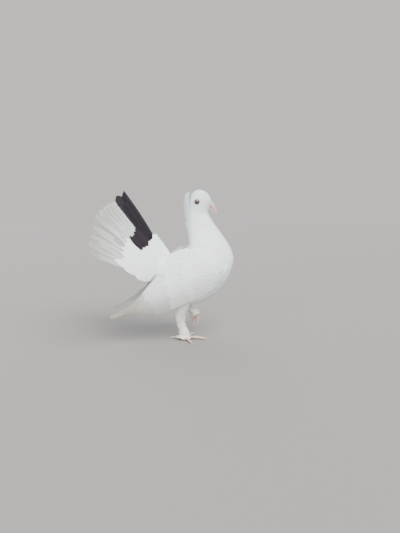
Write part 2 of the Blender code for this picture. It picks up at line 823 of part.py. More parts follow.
def toe(name, start, end, radius, arch):
    """One toe as a row of pads between its joints, bowed out by the arch vector."""
    start, end = np.array(start, float), np.array(end, float)
    rows = []
    for f, swell in TOE_PADS:
        centre = start + (end - start) * f + np.array(arch) * 4 * f * (1 - f)
        rows.append((centre, radius * swell, radius * swell))
    heading = unit(end - start)
    across = unit(np.cross(heading, (0.1, 0.05, 1)))
    lift = np.cross(across, heading)
    rings = []
    for centre, a, b in rows:
        ring = []
        for j in range(8):
            turn = 2 * math.pi * j / 8
            ring.append(centre + across * a * math.cos(turn) + lift * b * math.sin(turn))
        rings.append(ring)
    return loft(name, rings)


def claw(name, start, heading, droop):
    """A curved, pointed claw just ahead of a toe's end."""
    start, heading = np.array(start, float), unit(heading)
    across = unit(np.cross(heading, (0.1, 0.05, 1)))
    rings = []
    for k in range(4):
        f = k / 3
        radius = CLAW_RADIUS * (1 - CLAW_TAPER * f ** 1.3)
        centre = start + heading * CLAW_LENGTH * f + np.array(droop) * f * f
        lift = unit(np.cross(across, heading))
        ring = []
        for j in range(6):
            turn = 2 * math.pi * j / 6
            ring.append(centre + across * 0.75 * radius * math.cos(turn) + lift * radius * math.sin(turn))
        rings.append(ring)
    return loft(name, rings)


def floor_cutter():
    bpy.ops.mesh.primitive_cube_add(size=0.2, location=(0, 0, -0.1))
    box = bpy.context.object
    box.name = "floor_cutter"
    return box


def foot_ball(name, side, grow=0.0):
    """The ball of the foot, where the toes meet under the shank."""
    centre = FOOT_LEFT if side == LEFT else FOOT_RIGHT
    return ellipsoid(name, centre, [r + grow for r in BALL_RADII])


def make_standing_foot():
    """Ball and four toes, cut flat where they press on the floor, and their claws."""
    fx, fy, _ = FOOT_RIGHT
    pieces = [foot_ball("foot_right", RIGHT)]
    claws = []
    for n, (heading, length, radius) in enumerate(TOES_RIGHT, 1):
        turn = math.radians(heading)
        way = np.array((math.cos(turn), math.sin(turn), 0))
        height = radius - TOE_SINK
        end = np.array((fx, fy, height)) + way * length
        pieces.append(toe("toe", (fx, fy, height + 0.6), end, radius, (0, 0, TOE_ARCH)))
        claws.append(claw("claw_right_%d" % n, end + way * GAP, way, (0, 0, CLAW_TIP - height)))
    floor = floor_cutter()
    finish(cut(fuse("foot_right", pieces), floor), FLESH, 0.6)
    for obj in claws:
        finish(cut(obj, floor), HORN, 0.4)


def make_raised_foot():
    """The lifted foot: toes hang loosely from the ball of the foot."""
    ball = np.array(FOOT_LEFT, float)
    pieces = [foot_ball("foot_left", LEFT)]
    claws = []
    for n, (tip, radius) in enumerate(zip(TOE_TIPS_LEFT, TOE_RADII_LEFT), 1):
        way = unit(np.array(tip) - ball)
        pieces.append(toe("toe", ball, tip, radius, (TOE_CURL if n > 1 else 0, 0, 0)))
        claws.append(claw("claw_left_%d" % n, np.array(tip) + way * GAP, way, CLAW_DROOP_LEFT))
    finish(fuse("foot_left", pieces), FLESH, 0.6)
    for obj in claws:
        finish(obj, HORN, 0.4)


for old in list(bpy.data.objects):
    bpy.data.objects.remove(old)
dice = random.Random(7)
parts = bpy.data.collections.new("fantail_pigeon")
cutters = bpy.data.collections.new("cutters")
bpy.context.scene.collection.children.link(parts)
bpy.context.scene.collection.children.link(cutters)

torso = finish(body_piece("torso", 0, NECK_START, 12), WHITE)
neck = finish(body_piece("neck", NECK_START, HEAD_START, 9), WHITE)
torso_space, neck_space, head_space = grown(torso), grown(neck), make_head()
make_bill(head_space)
make_crest([head_space, neck_space])
for side in (LEFT, RIGHT):
    make_wing(side, [torso_space, neck_space])
for side in (LEFT, RIGHT):
    make_tail(side, torso_space)
make_leg(RIGHT, THIGH_RIGHT, SHANK_RIGHT, torso_space, foot_ball("ball_cutter_right", RIGHT, GAP))
make_leg(LEFT, THIGH_LEFT, SHANK_LEFT, torso_space, foot_ball("ball_cutter_left", LEFT, GAP))
make_standing_foot()
make_raised_foot()
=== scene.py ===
"""Looks of a life-size fantail pigeon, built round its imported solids.

The bird stands on its right foot with the left one raised, its tail fan up and its wings drooped.
Lengths in this file are millimetres and meshes are in metres, in the frame of the solids:
+X to the breast, +Y to the bird's left, +Z up, the floor at 0 under the standing foot.
"""

import itertools
import math

import bmesh
import bpy
import numpy as np
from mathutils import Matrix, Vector


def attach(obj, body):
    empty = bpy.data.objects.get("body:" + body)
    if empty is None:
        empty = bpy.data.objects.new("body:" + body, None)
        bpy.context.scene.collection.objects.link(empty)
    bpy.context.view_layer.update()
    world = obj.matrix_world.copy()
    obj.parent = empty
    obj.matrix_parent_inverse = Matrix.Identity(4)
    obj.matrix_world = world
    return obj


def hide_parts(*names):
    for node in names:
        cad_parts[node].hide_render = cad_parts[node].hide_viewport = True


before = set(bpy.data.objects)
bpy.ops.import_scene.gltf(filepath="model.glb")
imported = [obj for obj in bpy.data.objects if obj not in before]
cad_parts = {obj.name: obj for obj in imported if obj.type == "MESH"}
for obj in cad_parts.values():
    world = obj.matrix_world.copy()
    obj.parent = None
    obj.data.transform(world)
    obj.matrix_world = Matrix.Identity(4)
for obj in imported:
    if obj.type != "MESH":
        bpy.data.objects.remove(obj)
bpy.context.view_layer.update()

# Skin of the body
# One closed skin runs from the rump to the bill, laid through slanted sections between a point
# on the back and a point on the belly. It lies a coat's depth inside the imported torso, neck and
# head, so that the small feathers end where those solids do.
MM = 0.001
FULL_TURN = 2 * math.pi
LEFT, RIGHT = 1, -1
SIDE_NAMES = {LEFT: "left", RIGHT: "right"}
# Sections: back x, back z, belly x, belly z, half width
RUMP = [
    (-77.5, 157, -79, 153.5, 2.5),
    (-72, 162.5, -80.5, 146.5, 12.5),
    (-61.5, 166.5, -78, 137.5, 20.5),
    (-48.5, 168, -72.5, 128, 24.5),
    (-35, 167, -65.2, 119, 27),
]
TORSO = [
    (-25, 164, -57, 109.5, 29.5),
    (-12, 165, -46, 94, 35.5),
    (1.5, 170.5, -27.5, 77.5, 42),
    (9.8, 178.5, 0, 67, 47),
    (12, 188.5, 30, 70, 48),
    (11.4, 195, 58, 86, 47),
    (10.4, 200.5, 79, 109, 44),
]
NECK = [
    (9.6, 204.5, 91, 135, 40),
    (8.8, 208.5, 94.6, 155, 35.5),
    (7.8, 212.5, 88.5, 175, 30),
    (6.6, 217, 77.5, 193, 25),
    (5.8, 223, 66.5, 208.5, 21),
    (6.0, 232, 56, 223, 18),
]
HEAD = [
    (7, 241, 49, 234.5, 16.3),
    (8.5, 250, 47.5, 239, 15.6),
    (11, 261, 48, 242, 15.2),
    (15.5, 270.5, 49, 244.5, 14.8),
    (22.5, 277.5, 50, 247, 14.2),
    (31, 280, 51, 249.5, 13.2),
    (40, 278, 52, 252, 11.6),
    (47, 273, 53, 254.5, 9.2),
    (51, 267, 53.6, 257, 6.2),
    (53, 262.5, 53.8, 259.3, 2.6),
]
BODY = RUMP + TORSO + NECK + HEAD
TORSO_START = len(RUMP)
NECK_START = TORSO_START + len(TORSO)
HEAD_START = NECK_START + len(NECK)
BODY_END = len(BODY) - 1
# Stations along the body, and how deep the coat is there
COAT_STATIONS = [0, TORSO_START, NECK_START, NECK_START + 3, HEAD_START, HEAD_START + 3, BODY_END]
COAT_DEPTHS = [2.0, 1.9, 1.6, 1.3, 1.0, 0.75, 0.45]
SKIN_RINGS = 150
SKIN_POINTS = 72
# How far past its ends a curve through rows may be read
PAST_END = 0.8


def along(rows, t):
    """Smooth curve through rows of numbers, at many places t counted in rows."""
    rows = np.asarray(rows, float)
    last = len(rows) - 1
    t = np.clip(np.asarray(t, float), -PAST_END, last + PAST_END)
    i = np.clip(np.floor(t).astype(int), 0, last - 1)
    f = (t - i)[..., None]
    a, b = rows[np.maximum(i - 1, 0)], rows[i]
    c, d = rows[i + 1], rows[np.minimum(i + 2, last)]
    return 0.5 * (2 * b + (c - a) * f + (2 * a - 5 * b + 4 * c - d) * f**2 + (3 * b - a - 3 * c + d) * f**3)


def unit(rows):
    """Directions brought to length 1."""
    return rows / np.maximum(np.linalg.norm(rows, axis=-1, keepdims=True), 1e-9)


def on_body(t, turn):
    """Outer surface of the body at station t, turn radians round from the back to the left."""
    bx, bz, vx, vz, wide = np.moveaxis(along(BODY, t), -1, 0)
    up, side = np.cos(turn), np.sin(turn)
    x = (bx + vx) / 2 + (bx - vx) / 2 * up
    z = (bz + vz) / 2 + (bz - vz) / 2 * up
    return np.stack((x, wide * side, z), axis=-1)


def facing(surface, p, q):
    """Slopes of a surface along p and q, and the unit direction that both are square to."""
    step = 0.01
    slope_p = (surface(p + step, q) - surface(p - step, q)) / (2 * step)
    slope_q = (surface(p, q + step) - surface(p, q - step)) / (2 * step)
    return slope_p, slope_q, unit(np.cross(slope_p, slope_q))


def mesh_piece(name, points, face_groups):
    """An object from points in millimetres and groups of faces with equally many corners."""
    corners = np.concatenate([np.asarray(g).reshape(-1) for g in face_groups])
    sizes = np.concatenate([np.full(len(g), len(g[0])) for g in face_groups])
    mesh = bpy.data.meshes.new(name)
    mesh.vertices.add(len(points))
    mesh.vertices.foreach_set("co", (np.asarray(points, float) * MM).astype(np.float32).reshape(-1))
    mesh.loops.add(len(corners))
    mesh.loops.foreach_set("vertex_index", corners.astype(np.int32))
    mesh.polygons.add(len(sizes))
    mesh.polygons.foreach_set("loop_start", (np.cumsum(sizes) - sizes).astype(np.int32))
    mesh.update(calc_edges=True)
    mesh.shade_smooth()
    piece = bpy.data.objects.new(name, mesh)
    bpy.context.scene.collection.objects.link(piece)
    return piece


def pair(across, up):
    """Places on a flat map from their two parts, either of which may be one number for all."""
    return np.stack(np.broadcast_arrays(across, up), axis=-1)


def corner_map(piece, name, places):
    """A UV map from one place for each vertex, in the order of the vertices."""
    mesh = piece.data
    corners = np.zeros(len(mesh.loops), np.int32)
    mesh.loops.foreach_get("vertex_index", corners)
    layer = mesh.uv_layers.new(name=name)
    places = np.asarray(places, np.float32).reshape(-1, 2)
    layer.data.foreach_set("uv", places[corners].reshape(-1))


def point_values(piece, name, values):
    """A named number on each vertex, which the materials read."""
    layer = piece.data.attributes.new(name, "FLOAT", "POINT")
    layer.data.foreach_set("value", np.asarray(values, np.float32).reshape(-1))


def angles(count):
    """Even turns in radians once round a ring."""
    return np.arange(count) * FULL_TURN / count


def crossed(first, second):
    """A grid from two rows of numbers: the first goes down it, the second across it."""
    return np.meshgrid(first, second, indexing="ij")


def ramp(value, start, end):
    """0 up to start and 1 from end on, in a straight line between them."""
    return np.clip((value - start) / (end - start), 0, 1)


def rings_piece(name, rings, sealed=True):
    """A skin over rings of points, closed at both ends where it is sealed."""
    rings = np.asarray(rings, float)
    rows, count = rings.shape[:2]
    k, j = crossed(np.arange(rows - 1), np.arange(count))
    n = (j + 1) % count
    quads = np.stack((k * count + j, k * count + n, (k + 1) * count + n, (k + 1) * count + j), axis=-1)
    groups = [quads.reshape(-1, 4)]
    if sealed:
        groups.append(np.arange(count)[None, ::-1])
        groups.append((rows - 1) * count + np.arange(count)[None, :])
    return mesh_piece(name, rings.reshape(-1, 3), groups)


def creamy(points):
    """How warm the white plumage is at a place: lower belly, vent, legs, wing ends, tail sides; the warm
    tint is partly stain and partly painted shade.
    """
    x, y, z = np.moveaxis(np.asarray(points, float), -1, 0)
    belly = ramp(z, 112, 52) * ramp(x, 70, 10)
    # Wing ends turn warm, partly stain and partly painted shade; the left wing, on the far side, is left
    # almost free of it, which is painted light
    trailing = ramp(x, -40, -150) * ramp(z, 150, 90) * np.where(y > 20, 0.2, 1)
    # The tail's sides turn warm too, partly stain and partly painted shade
    fan_side = ramp(x, -90, -180) * ramp(np.abs(y), 30, 100)
    return np.clip(0.55 * belly + 0.75 * trailing + 0.6 * fan_side, 0, 1)


def skin_piece(name, rings, across, down, warmth=None):
    """A skin over rings of points, with the map and the values that its material reads."""
    piece = rings_piece(name, rings)
    corner_map(piece, "OFBake", pair(across, down))
    point_values(piece, "cream", creamy(rings) if warmth is None else warmth)
    return piece


stations, turns = crossed(np.linspace(0, BODY_END, SKIN_RINGS), angles(SKIN_POINTS))
depths = np.interp(stations, COAT_STATIONS, COAT_DEPTHS)[..., None]
skin_points = on_body(stations, turns) - facing(on_body, stations, turns)[2] * depths
body_skin = skin_piece("body_skin", skin_points, turns / FULL_TURN, stations / BODY_END)


def shader_group(name, inputs, outputs):
    """An empty node group with named number, colour or vector sockets."""
    group = bpy.data.node_groups.new(name, "ShaderNodeTree")
    for direction, sockets in (("INPUT", inputs), ("OUTPUT", outputs)):
        for label, kind in sockets:
            group.interface.new_socket(label, in_out=direction, socket_type="NodeSocket" + kind)
    return group, group.nodes.new("NodeGroupInput"), group.nodes.new("NodeGroupOutput")


def node(tree, kind, **settings):
    """A shader node with its settings; names that start with in_ are its inputs' plain values."""
    made = tree.nodes.new("ShaderNode" + kind)
    for key, value in settings.items():
        if key.startswith("in_"):
            made.inputs[key[3:]].default_value = value
        else:
            setattr(made, key, value)
    return made


def sums(tree, operation, first, second=0.0, third=None):
    """A Math node on sockets or plain numbers; gives its output socket."""
    made = tree.nodes.new("ShaderNodeMath")
    made.operation = operation
    for place, value in enumerate((first, second, third)):
        if value is None:
            continue
        if isinstance(value, (int, float)):
            made.inputs[place].default_value = value
        else:
            tree.links.new(value, made.inputs[place])
    return made.outputs[0]


def mixed(tree, amount, first, second):
    """A colour mix of sockets or plain colours; gives its output socket."""
    made = tree.nodes.new("ShaderNodeMix")
    made.data_type = "RGBA"
    for place, value in ((0, amount), (6, first), (7, second)):
        if isinstance(value, (int, float, tuple)):
            made.inputs[place].default_value = value
        else:
            tree.links.new(value, made.inputs[place])
    return made.outputs[2]


def grain(tree, scale, detail=3.0):
    """Soft noise fixed to the bird; gives its strength as a socket."""
    place = node(tree, "TexCoord")
    noise = node(tree, "TexNoise", in_Scale=scale, in_Detail=detail)
    tree.links.new(place.outputs["Object"], noise.inputs["Vector"])
    return noise.outputs["Fac"]


def placed(tree, group):
    """A node group placed in a material."""
    made = tree.nodes.new("ShaderNodeGroup")
    made.node_tree = group
    return made


# Feather colour, shared by the skin and every feather: white with a cool cast, warmer where
# the cream value rises, a little lighter or greyer from one feather to the next, with faint
# dust in soft patches.
feather_colour, taken, given = shader_group(
    "feather_colour",
    [("White", "Color"), ("Cream", "Color"), ("Cream amount", "Float"), ("Tone", "Float")],
    [("Colour", "Color")],
)
warm = sums(feather_colour, "MULTIPLY", grain(feather_colour, 45.0), 0.35)
warm = sums(feather_colour, "MULTIPLY_ADD", taken.outputs["Cream amount"], 0.9, warm)
warm = sums(feather_colour, "SUBTRACT", warm, 0.16)
warm = sums(feather_colour, "MINIMUM", sums(feather_colour, "MAXIMUM", warm, 0.0), 1.0)
shown = mixed(feather_colour, warm, taken.outputs["White"], taken.outputs["Cream"])
grey = sums(feather_colour, "MULTIPLY", taken.outputs["Tone"], 0.10)
shown = mixed(feather_colour, grey, shown, (0.55, 0.57, 0.58, 1))
feather_colour.links.new(shown, given.inputs["Colour"])

PLUME_WHITE = (0.84, 0.885, 0.88, 1)
PLUME_CREAM = (0.78, 0.73, 0.60, 1)


def roughen(tree, shader, height, strength, depth_mm):
    """Small relief on a material, from a height socket."""
    bump = node(tree, "Bump", in_Strength=strength, in_Distance=depth_mm * MM)
    tree.links.new(height, bump.inputs["Height"])
    tree.links.new(bump.outputs[0], shader.inputs["Normal"])


def plain_material(name, roughness):
    """A new material; gives it with its node tree and its main shader."""
    material = bpy.data.materials.new(name)
    material.use_nodes = True
    shader = material.node_tree.nodes["Principled BSDF"]
    shader.inputs["Roughness"].default_value = roughness
    return material, material.node_tree, shader


def value_of(tree, name):
    """The named point value of a mesh, as a socket."""
    return node(tree, "Attribute", attribute_name=name).outputs["Fac"]


def plumage_colour(tree, tone, white=PLUME_WHITE, cream=PLUME_CREAM):
    """The shared feather colour placed in a material; gives its colour socket."""
    made = placed(tree, feather_colour)
    made.inputs["White"].default_value = white
    made.inputs["Cream"].default_value = cream
    tree.links.new(value_of(tree, "cream"), made.inputs["Cream amount"])
    if tone is not None:
        tree.links.new(tone, made.inputs["Tone"])
    return made.outputs["Colour"]


skin_material, tree, shader = plain_material("down_skin", 0.9)
tree.links.new(plumage_colour(tree, None), shader.inputs["Base Color"])


def dress(piece, material, *nodes, slot="white_plumage"):
    """Gives a piece its material, ties it to the bird and hides the solids that it stands in for."""
    piece.data.materials.append(material)
    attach(piece, "root")
    if nodes:
        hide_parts(*nodes)


dress(body_skin, skin_material, "torso", "neck", "head")


# Small feathers of the body
# Contour feathers grow from the skin in a close random spread and lie back from the bill to the
# tail, each a thin arched vane with its root sunk in the coat and its rounded tip on top of the
# next ones. They are tiny on the head, silky on the neck and broad on the back and belly.
CONTOUR = [(0, 0.35), (0.25, 0.75), (0.52, 1.0), (0.76, 0.9), (0.9, 0.6), (1.0, 0.12)]
CONTOUR_COLUMNS = (-1, -0.5, 0, 0.5, 1)
HEAD_CONTOUR = [(0, 0.5), (0.35, 1.0), (0.75, 0.8), (1.0, 0.15)]
HEAD_COLUMNS = (-1, 0, 1)
# Length and half width of the feathers at the same stations
COAT_LENGTHS = [17, 16, 13, 10.5, 7.6, 5.4, 2.4]
COAT_HALF_WIDTHS = [4.0, 3.7, 2.8, 2.0, 1.35, 0.95, 0.55]
# Size of a small feather on the flat unwrap
PATCH_SIZE = (0.002, 0.003)
# How far the small feathers take their shading from the smooth surface that they lie on
SOFTNESS = 0.62
# Gap between roots, as a share of a feather's length
COAT_GAP = 0.2
# How uneven the sides and the tips of ragged feathers are
RAGGED_SIDES = 0.22
RAGGED_TIPS = 0.10
SHARP_FOLD = math.radians(70)
# Centre of the left eye, and how far round it no feather lies
EYE = (27, 11.1, 258)
EYE_CLEAR = 5.4
# The middle of a folded wing hides the body between these x, from this far out in y
UNDER_WING_X = (-16, 62)
UNDER_WING_Y = 26


def scatter(surface, p_span, q_span, gap, tries, seed):
    """Roots spread over a surface at random, no two closer than the gap at their place."""
    draw = np.random.default_rng(seed)
    p = draw.uniform(*p_span, tries)
    q = draw.uniform(*q_span, tries)
    slope_p, slope_q, _ = facing(surface, p, q)
    share = np.linalg.norm(np.cross(slope_p, slope_q), axis=-1)
    kept = draw.random(tries) < share / share.max()
    p, q = p[kept], q[kept]
    places, gaps = surface(p, q), gap(p, q)
    cell = float(gaps.max())
    boxes, chosen = {}, []
    around = list(itertools.product((-1, 0, 1), repeat=3))
    cells = np.floor(places / cell).astype(int).tolist()
    spots, limits = places.tolist(), (gaps**2).tolist()
    for k, (i, j, m) in enumerate(cells):
        x, y, z = spots[k]
        near = (spot for a, b, c in around for spot in boxes.get((i + a, j + b, m + c), ()))
        if all((x - u) ** 2 + (y - v) ** 2 + (z - w) ** 2 >= limits[k] for u, v, w in near):
            boxes.setdefault((i, j, m), []).append((x, y, z))
            chosen.append(k)
    return p[chosen], q[chosen]


def each(values):
    """One value for each vane or ring, ready to spread over its points."""
    return values[:, None, None]


def lay_vanes(surface, outside, p, q, length, half, shape, columns, ahead=-1, lean=0.0, ragged=None):
    """Where the points of short feathers fall on a surface: p, q, and mm across and along.

    outside is 1 where p, q and the outer side are right-handed, ahead the way of the feathers
    along p, lean their turn from it, and ragged draws how uneven their edges are.
    """
    slope_p, slope_q, square = facing(surface, p, q)
    up = square * outside
    flow = ahead * unit(slope_p)
    turn = np.broadcast_to(lean, p.shape)[:, None]
    heading = flow * np.cos(turn) + np.cross(up, flow) * np.sin(turn)
    sideways = np.cross(heading, up)
    steps, widths = np.array(shape).T
    steps = steps[:, None]
    y = each(length) * steps + 0 * np.array(columns)
    x = each(half) * widths[:, None] * np.array(columns)
    if ragged is not None:
        x = x * (1 - RAGGED_SIDES * ragged.random(x.shape) * steps)
        y = y * (1 - RAGGED_TIPS * ragged.random(y.shape) * steps**3)
    shift = each(heading) * y[..., None] + each(sideways) * x[..., None]
    slope_p, slope_q = each(slope_p), each(slope_q)
    pp, qq, pq = (slope_p**2).sum(-1), (slope_q**2).sum(-1), (slope_p * slope_q).sum(-1)
    to_p, to_q = (shift * slope_p).sum(-1), (shift * slope_q).sum(-1)
    scale = pp * qq - pq**2
    return each(p) + (qq * to_p - pq * to_q) / scale, each(q) + (pp * to_q - pq * to_p) / scale, x, y


def vane_faces(count, rows, columns):
    """Faces of many closed vanes: a face of rows by columns over one row of points beneath."""
    k, j = crossed(np.arange(rows - 1), np.arange(columns - 1))
    here, after = k * columns + j, (k + 1) * columns + j
    top = np.stack((here, here + 1, after + 1, after), axis=-1).reshape(-1, 4)
    k = np.arange(rows - 1)
    first, last, keel = k * columns, k * columns + columns - 1, rows * columns + k
    under_first = np.stack((first, first + columns, keel + 1, keel), axis=-1)
    under = np.concatenate((under_first, np.stack((keel, keel + 1, last + columns, last), axis=-1)))
    root, tip = ([*range(row * columns, (row + 1) * columns), rows * columns + row] for row in (0, rows - 1))
    ends = (root[::-1], tip)
    offsets = each(np.arange(count) * (rows * columns + rows))
    return [(np.array(group)[None] + offsets).reshape(-1, len(group[0])) for group in (top, under, ends)]


def vane_piece(
    name, surface, outside, laid, height, keel, roots, tone, dark=None, patch=PATCH_SIZE, soft=0.0, dirt_and_shade=None
):
    """Closed vanes laid on a surface, with the maps and values that their material reads.

    height gives how far each point stands off the surface; keel is the thickness under the
    middle; roots are the places of the roots on the flat unwrap of the surface, and patch is
    how wide and long each vane is there. tone is one number for each vane, dark and
    dirt_and_shade one for each point; the last is a warm darkening, partly dirt and partly
    painted shade. soft is how far the surface's own facing, in place of the vane's, sets the
    shading.
    """
    p, q, x, y = laid
    count, rows, columns = p.shape
    middle = columns // 2
    square = facing(surface, p, q)[2] * outside
    top = surface(p, q) + square * height[..., None]
    under = top[:, :, middle] - square[:, :, middle] * keel
    points = np.concatenate((top.reshape(count, -1, 3), under), axis=1)
    faces = vane_faces(count, rows, columns)
    piece = mesh_piece(name, points.reshape(-1, 3), faces)
    piece.data.set_sharp_from_angle(angle=SHARP_FOLD)

    def with_keel(values):
        """Values on the points of the face, then the middle ones again for the row beneath it."""
        return np.concatenate((values.reshape(count, -1, *values.shape[3:]), values[:, :, middle]), axis=1)

    if soft:
        own = unit(np.cross(np.gradient(top, axis=1), np.gradient(top, axis=2)))
        own *= np.sign((own * square).sum(-1, keepdims=True))
        blend = unit(own * (1 - soft) + square * soft)
        above = with_keel(blend).reshape(-1, 3)[faces[0].reshape(-1)]
        below = -with_keel(own).reshape(-1, 3)[faces[1].reshape(-1)]
        # Zeros leave the end faces their own facing
        piece.data.normals_split_custom_set(np.concatenate((above, below, np.zeros((faces[2].size, 3)))))
    across, ahead = with_keel(x), with_keel(y)
    corner_map(piece, "Vane", pair(across, ahead) * 0.1)
    share = pair(across / (2 * np.abs(across).max()), ahead / ahead.max())
    corner_map(piece, "OFBake", roots[:, None] + share * np.array(patch))
    warmth = creamy(points)
    # The extra warm value added here is partly dirt and partly painted shade
    if dirt_and_shade is not None:
        warmth = np.clip(warmth + with_keel(dirt_and_shade), 0, 1)
    point_values(piece, "cream", warmth)
    point_values(piece, "tone", np.repeat(tone, points.shape[1]))
    point_values(piece, "dark", np.zeros(points.shape[:2]) if dark is None else with_keel(dark))
    return piece


# Barbs, shared by every feather: fine slanted lines off a raised shaft, from the Vane map,
# which holds centimetres across and along the feather.
feather_barbs, taken, given = shader_group(
    "feather_barbs",
    [("Vane", "Vector"), ("Spacing in mm", "Float"), ("Slant", "Float"), ("Shaft in mm", "Float")],
    [("Height", "Float"), ("Shaft", "Float")],
)
split = node(feather_barbs, "SeparateXYZ")
feather_barbs.links.new(taken.outputs["Vane"], split.inputs[0])
across = sums(feather_barbs, "ABSOLUTE", sums(feather_barbs, "MULTIPLY", split.outputs[0], 10.0))
ahead = sums(feather_barbs, "MULTIPLY", split.outputs[1], 10.0)
uneven = node(feather_barbs, "TexNoise", in_Scale=9.0, in_Detail=2.0)
feather_barbs.links.new(taken.outputs["Vane"], uneven.inputs["Vector"])
lines = sums(feather_barbs, "MULTIPLY", across, taken.outputs["Slant"])
lines = sums(feather_barbs, "SUBTRACT", ahead, lines)
lines = sums(feather_barbs, "DIVIDE", lines, taken.outputs["Spacing in mm"])
lines = sums(feather_barbs, "MULTIPLY_ADD", uneven.outputs["Fac"], 2.2, lines)
lines = sums(feather_barbs, "SINE", sums(feather_barbs, "MULTIPLY", lines, FULL_TURN))
shaft = sums(feather_barbs, "DIVIDE", across, taken.outputs["Shaft in mm"])
shaft = sums(feather_barbs, "MAXIMUM", sums(feather_barbs, "SUBTRACT", 1.0, shaft), 0.0)
relief = sums(feather_barbs, "MULTIPLY_ADD", shaft, 1.5, sums(feather_barbs, "MULTIPLY", lines, 0.3))
feather_barbs.links.new(relief, given.inputs["Height"])
feather_barbs.links.new(shaft, given.inputs["Shaft"])


DARK_SLATE = (0.010, 0.0095, 0.0145, 1)
DARK_BROWN = (0.024, 0.017, 0.021, 1)
# The head's white is greyer and bluer than the body's: painted shade
HEAD_SHADED_WHITE = (0.75, 0.795, 0.82, 1)
BARB_SLANT = 0.9


def feather_material(
    name, spacing, shaft, relief, rough, white=PLUME_WHITE, cream=PLUME_CREAM, gloss=0.3, bloom=0.12
):
    """White plumage with barbs; where the dark value rises it turns to slate black."""
    material, tree, shader = plain_material(name, rough)
    barbs = placed(tree, feather_barbs)
    vane = node(tree, "UVMap", uv_map="Vane")
    tree.links.new(vane.outputs[0], barbs.inputs["Vane"])
    barbs.inputs["Spacing in mm"].default_value = spacing
    barbs.inputs["Slant"].default_value = BARB_SLANT
    barbs.inputs["Shaft in mm"].default_value = shaft
    roughen(tree, shader, barbs.outputs["Height"], 0.6, relief)
    tone = value_of(tree, "tone")
    white = plumage_colour(tree, tone, white, cream)
    slate = mixed(tree, tone, DARK_SLATE, DARK_BROWN)
    tree.links.new(mixed(tree, value_of(tree, "dark"), white, slate), shader.inputs["Base Color"])
    shader.inputs["Sheen Weight"].default_value = bloom
    shader.inputs["Sheen Roughness"].default_value = 0.5
    shader.inputs["Specular IOR Level"].default_value = gloss
    return material


body_feather_material = feather_material("body_feather", 0.55, 0.25, 0.12, 0.72)
head_feather_material = feather_material("head_feather", 0.5, 0.25, 0.1, 0.72, HEAD_SHADED_WHITE)


def coat_gap(p, q):
    """Gap between the roots of the body's feathers at a place."""
    return np.interp(p, COAT_STATIONS, COAT_LENGTHS) * COAT_GAP


def under_wing(points):
    """True where a place on the body lies under the middle of a folded wing."""
    x, y, z = np.moveaxis(points, -1, 0)
    front, rear = ramp(x, -20, 65), ramp(x, -60, -20)
    high = 150 + 8 * np.sin(front * math.pi) - 20 * (1 - rear)
    low = 92 + 22 * front - 10 * (1 - rear)
    hidden = (np.abs(y) > UNDER_WING_Y) & (x > UNDER_WING_X[0]) & (x < UNDER_WING_X[1])
    return hidden & (z < high) & (z > low)


def body_feathers(name, p_span, seed, tries, shape=CONTOUR, columns=CONTOUR_COLUMNS):
    """Contour feathers over one stretch of the body."""
    p, q = scatter(on_body, p_span, (0, FULL_TURN), coat_gap, tries, seed)
    draw = np.random.default_rng(seed + 1)
    length = np.interp(p, COAT_STATIONS, COAT_LENGTHS) * draw.uniform(0.88, 1.12, len(p))
    places = on_body(p, q)
    tip = places - unit(facing(on_body, p, q)[0]) * length[:, None]
    clear = np.ones(len(p), bool)
    for share in (0, 0.5, 1):
        spot = places + (tip - places) * share
        clear &= np.hypot(spot[:, 0] - EYE[0], spot[:, 2] - EYE[2]) > EYE_CLEAR
    clear &= ~under_wing(places)
    p, q, length = p[clear], q[clear], length[clear]
    half = np.interp(p, COAT_STATIONS, COAT_HALF_WIDTHS) * draw.uniform(0.9, 1.1, len(p))
    depth = np.interp(p, COAT_STATIONS, COAT_DEPTHS)
    lean = draw.normal(0, 0.12, len(p))
    laid = lay_vanes(on_body, 1, p, q, length, half, shape, columns, lean=lean, ragged=draw)
    rise = laid[3] / each(length)
    arch = 0.09 * laid[2] ** 2 / each(half)
    lift = each(draw.uniform(-0.1, 0.1, len(p)) * depth)
    height = -each(depth) * 0.95 * (1 - rise**0.8) - arch + lift * rise
    roots = pair(q / FULL_TURN, p / BODY_END)
    tone = draw.random(len(p)) ** 2
    return vane_piece(name, on_body, 1, laid, height, 0.1, roots, tone, soft=SOFTNESS)


for name, p_span, seed, tries in (
    ("plumage_rump", (0.3, TORSO_START), 11, 16000),
    ("plumage_torso", (TORSO_START, NECK_START), 12, 60000),
    ("plumage_breast", (NECK_START, NECK_START + 3), 13, 50000),
    ("plumage_neck", (NECK_START + 3, HEAD_START + 1), 14, 60000),
):
    dress(body_feathers(name, p_span, seed, tries), body_feather_material)
head_span = (HEAD_START + 1, BODY_END - 0.25)
head_feathers = body_feathers("plumage_head", head_span, 15, 60000, HEAD_CONTOUR, HEAD_COLUMNS)
dress(head_feathers, head_feather_material)


# Wings
# Each folded wing hangs over the side of the body. A feathered arm carries the small coverts,
# and behind them tiers of longer coverts, then secondaries, then the ten primaries, every tier
# lying over the roots of the next.
# Rows: low edge x, z, high edge x, z, how far out the low edge, middle and high edge stand, depth
WING = [
    (84, 131, 80, 152, 23, 30, 26, 12),
    (60, 108, 60, 166, 35, 46, 41, 15),
    (22, 85, 22, 173, 36.5, 53.5, 42, 18),
    (-20, 66, -20, 160, 37, 50, 27, 20),
    (-58, 57, -52, 118, 38, 46, 33, 9),
    (-95, 53, -90, 82, 38, 42, 36, 2.4),
    (-131, 51, -130, 57, 36.5, 37.5, 36.5, 1.4),
]
# How much longer each wing is behind the thigh
WING_STRETCH = {LEFT: 0.08, RIGHT: 0.0}
THIGH_X = -20
WING_ARM_END = 4.35
WING_SKIN_DEPTH = 1.7
WING_COLUMNS = (-1, -0.72, -0.4, -0.1, 0, 0.1, 0.4, 0.72, 1)
PRIMARIES = 10
PRIMARY_LAYER = 0.8
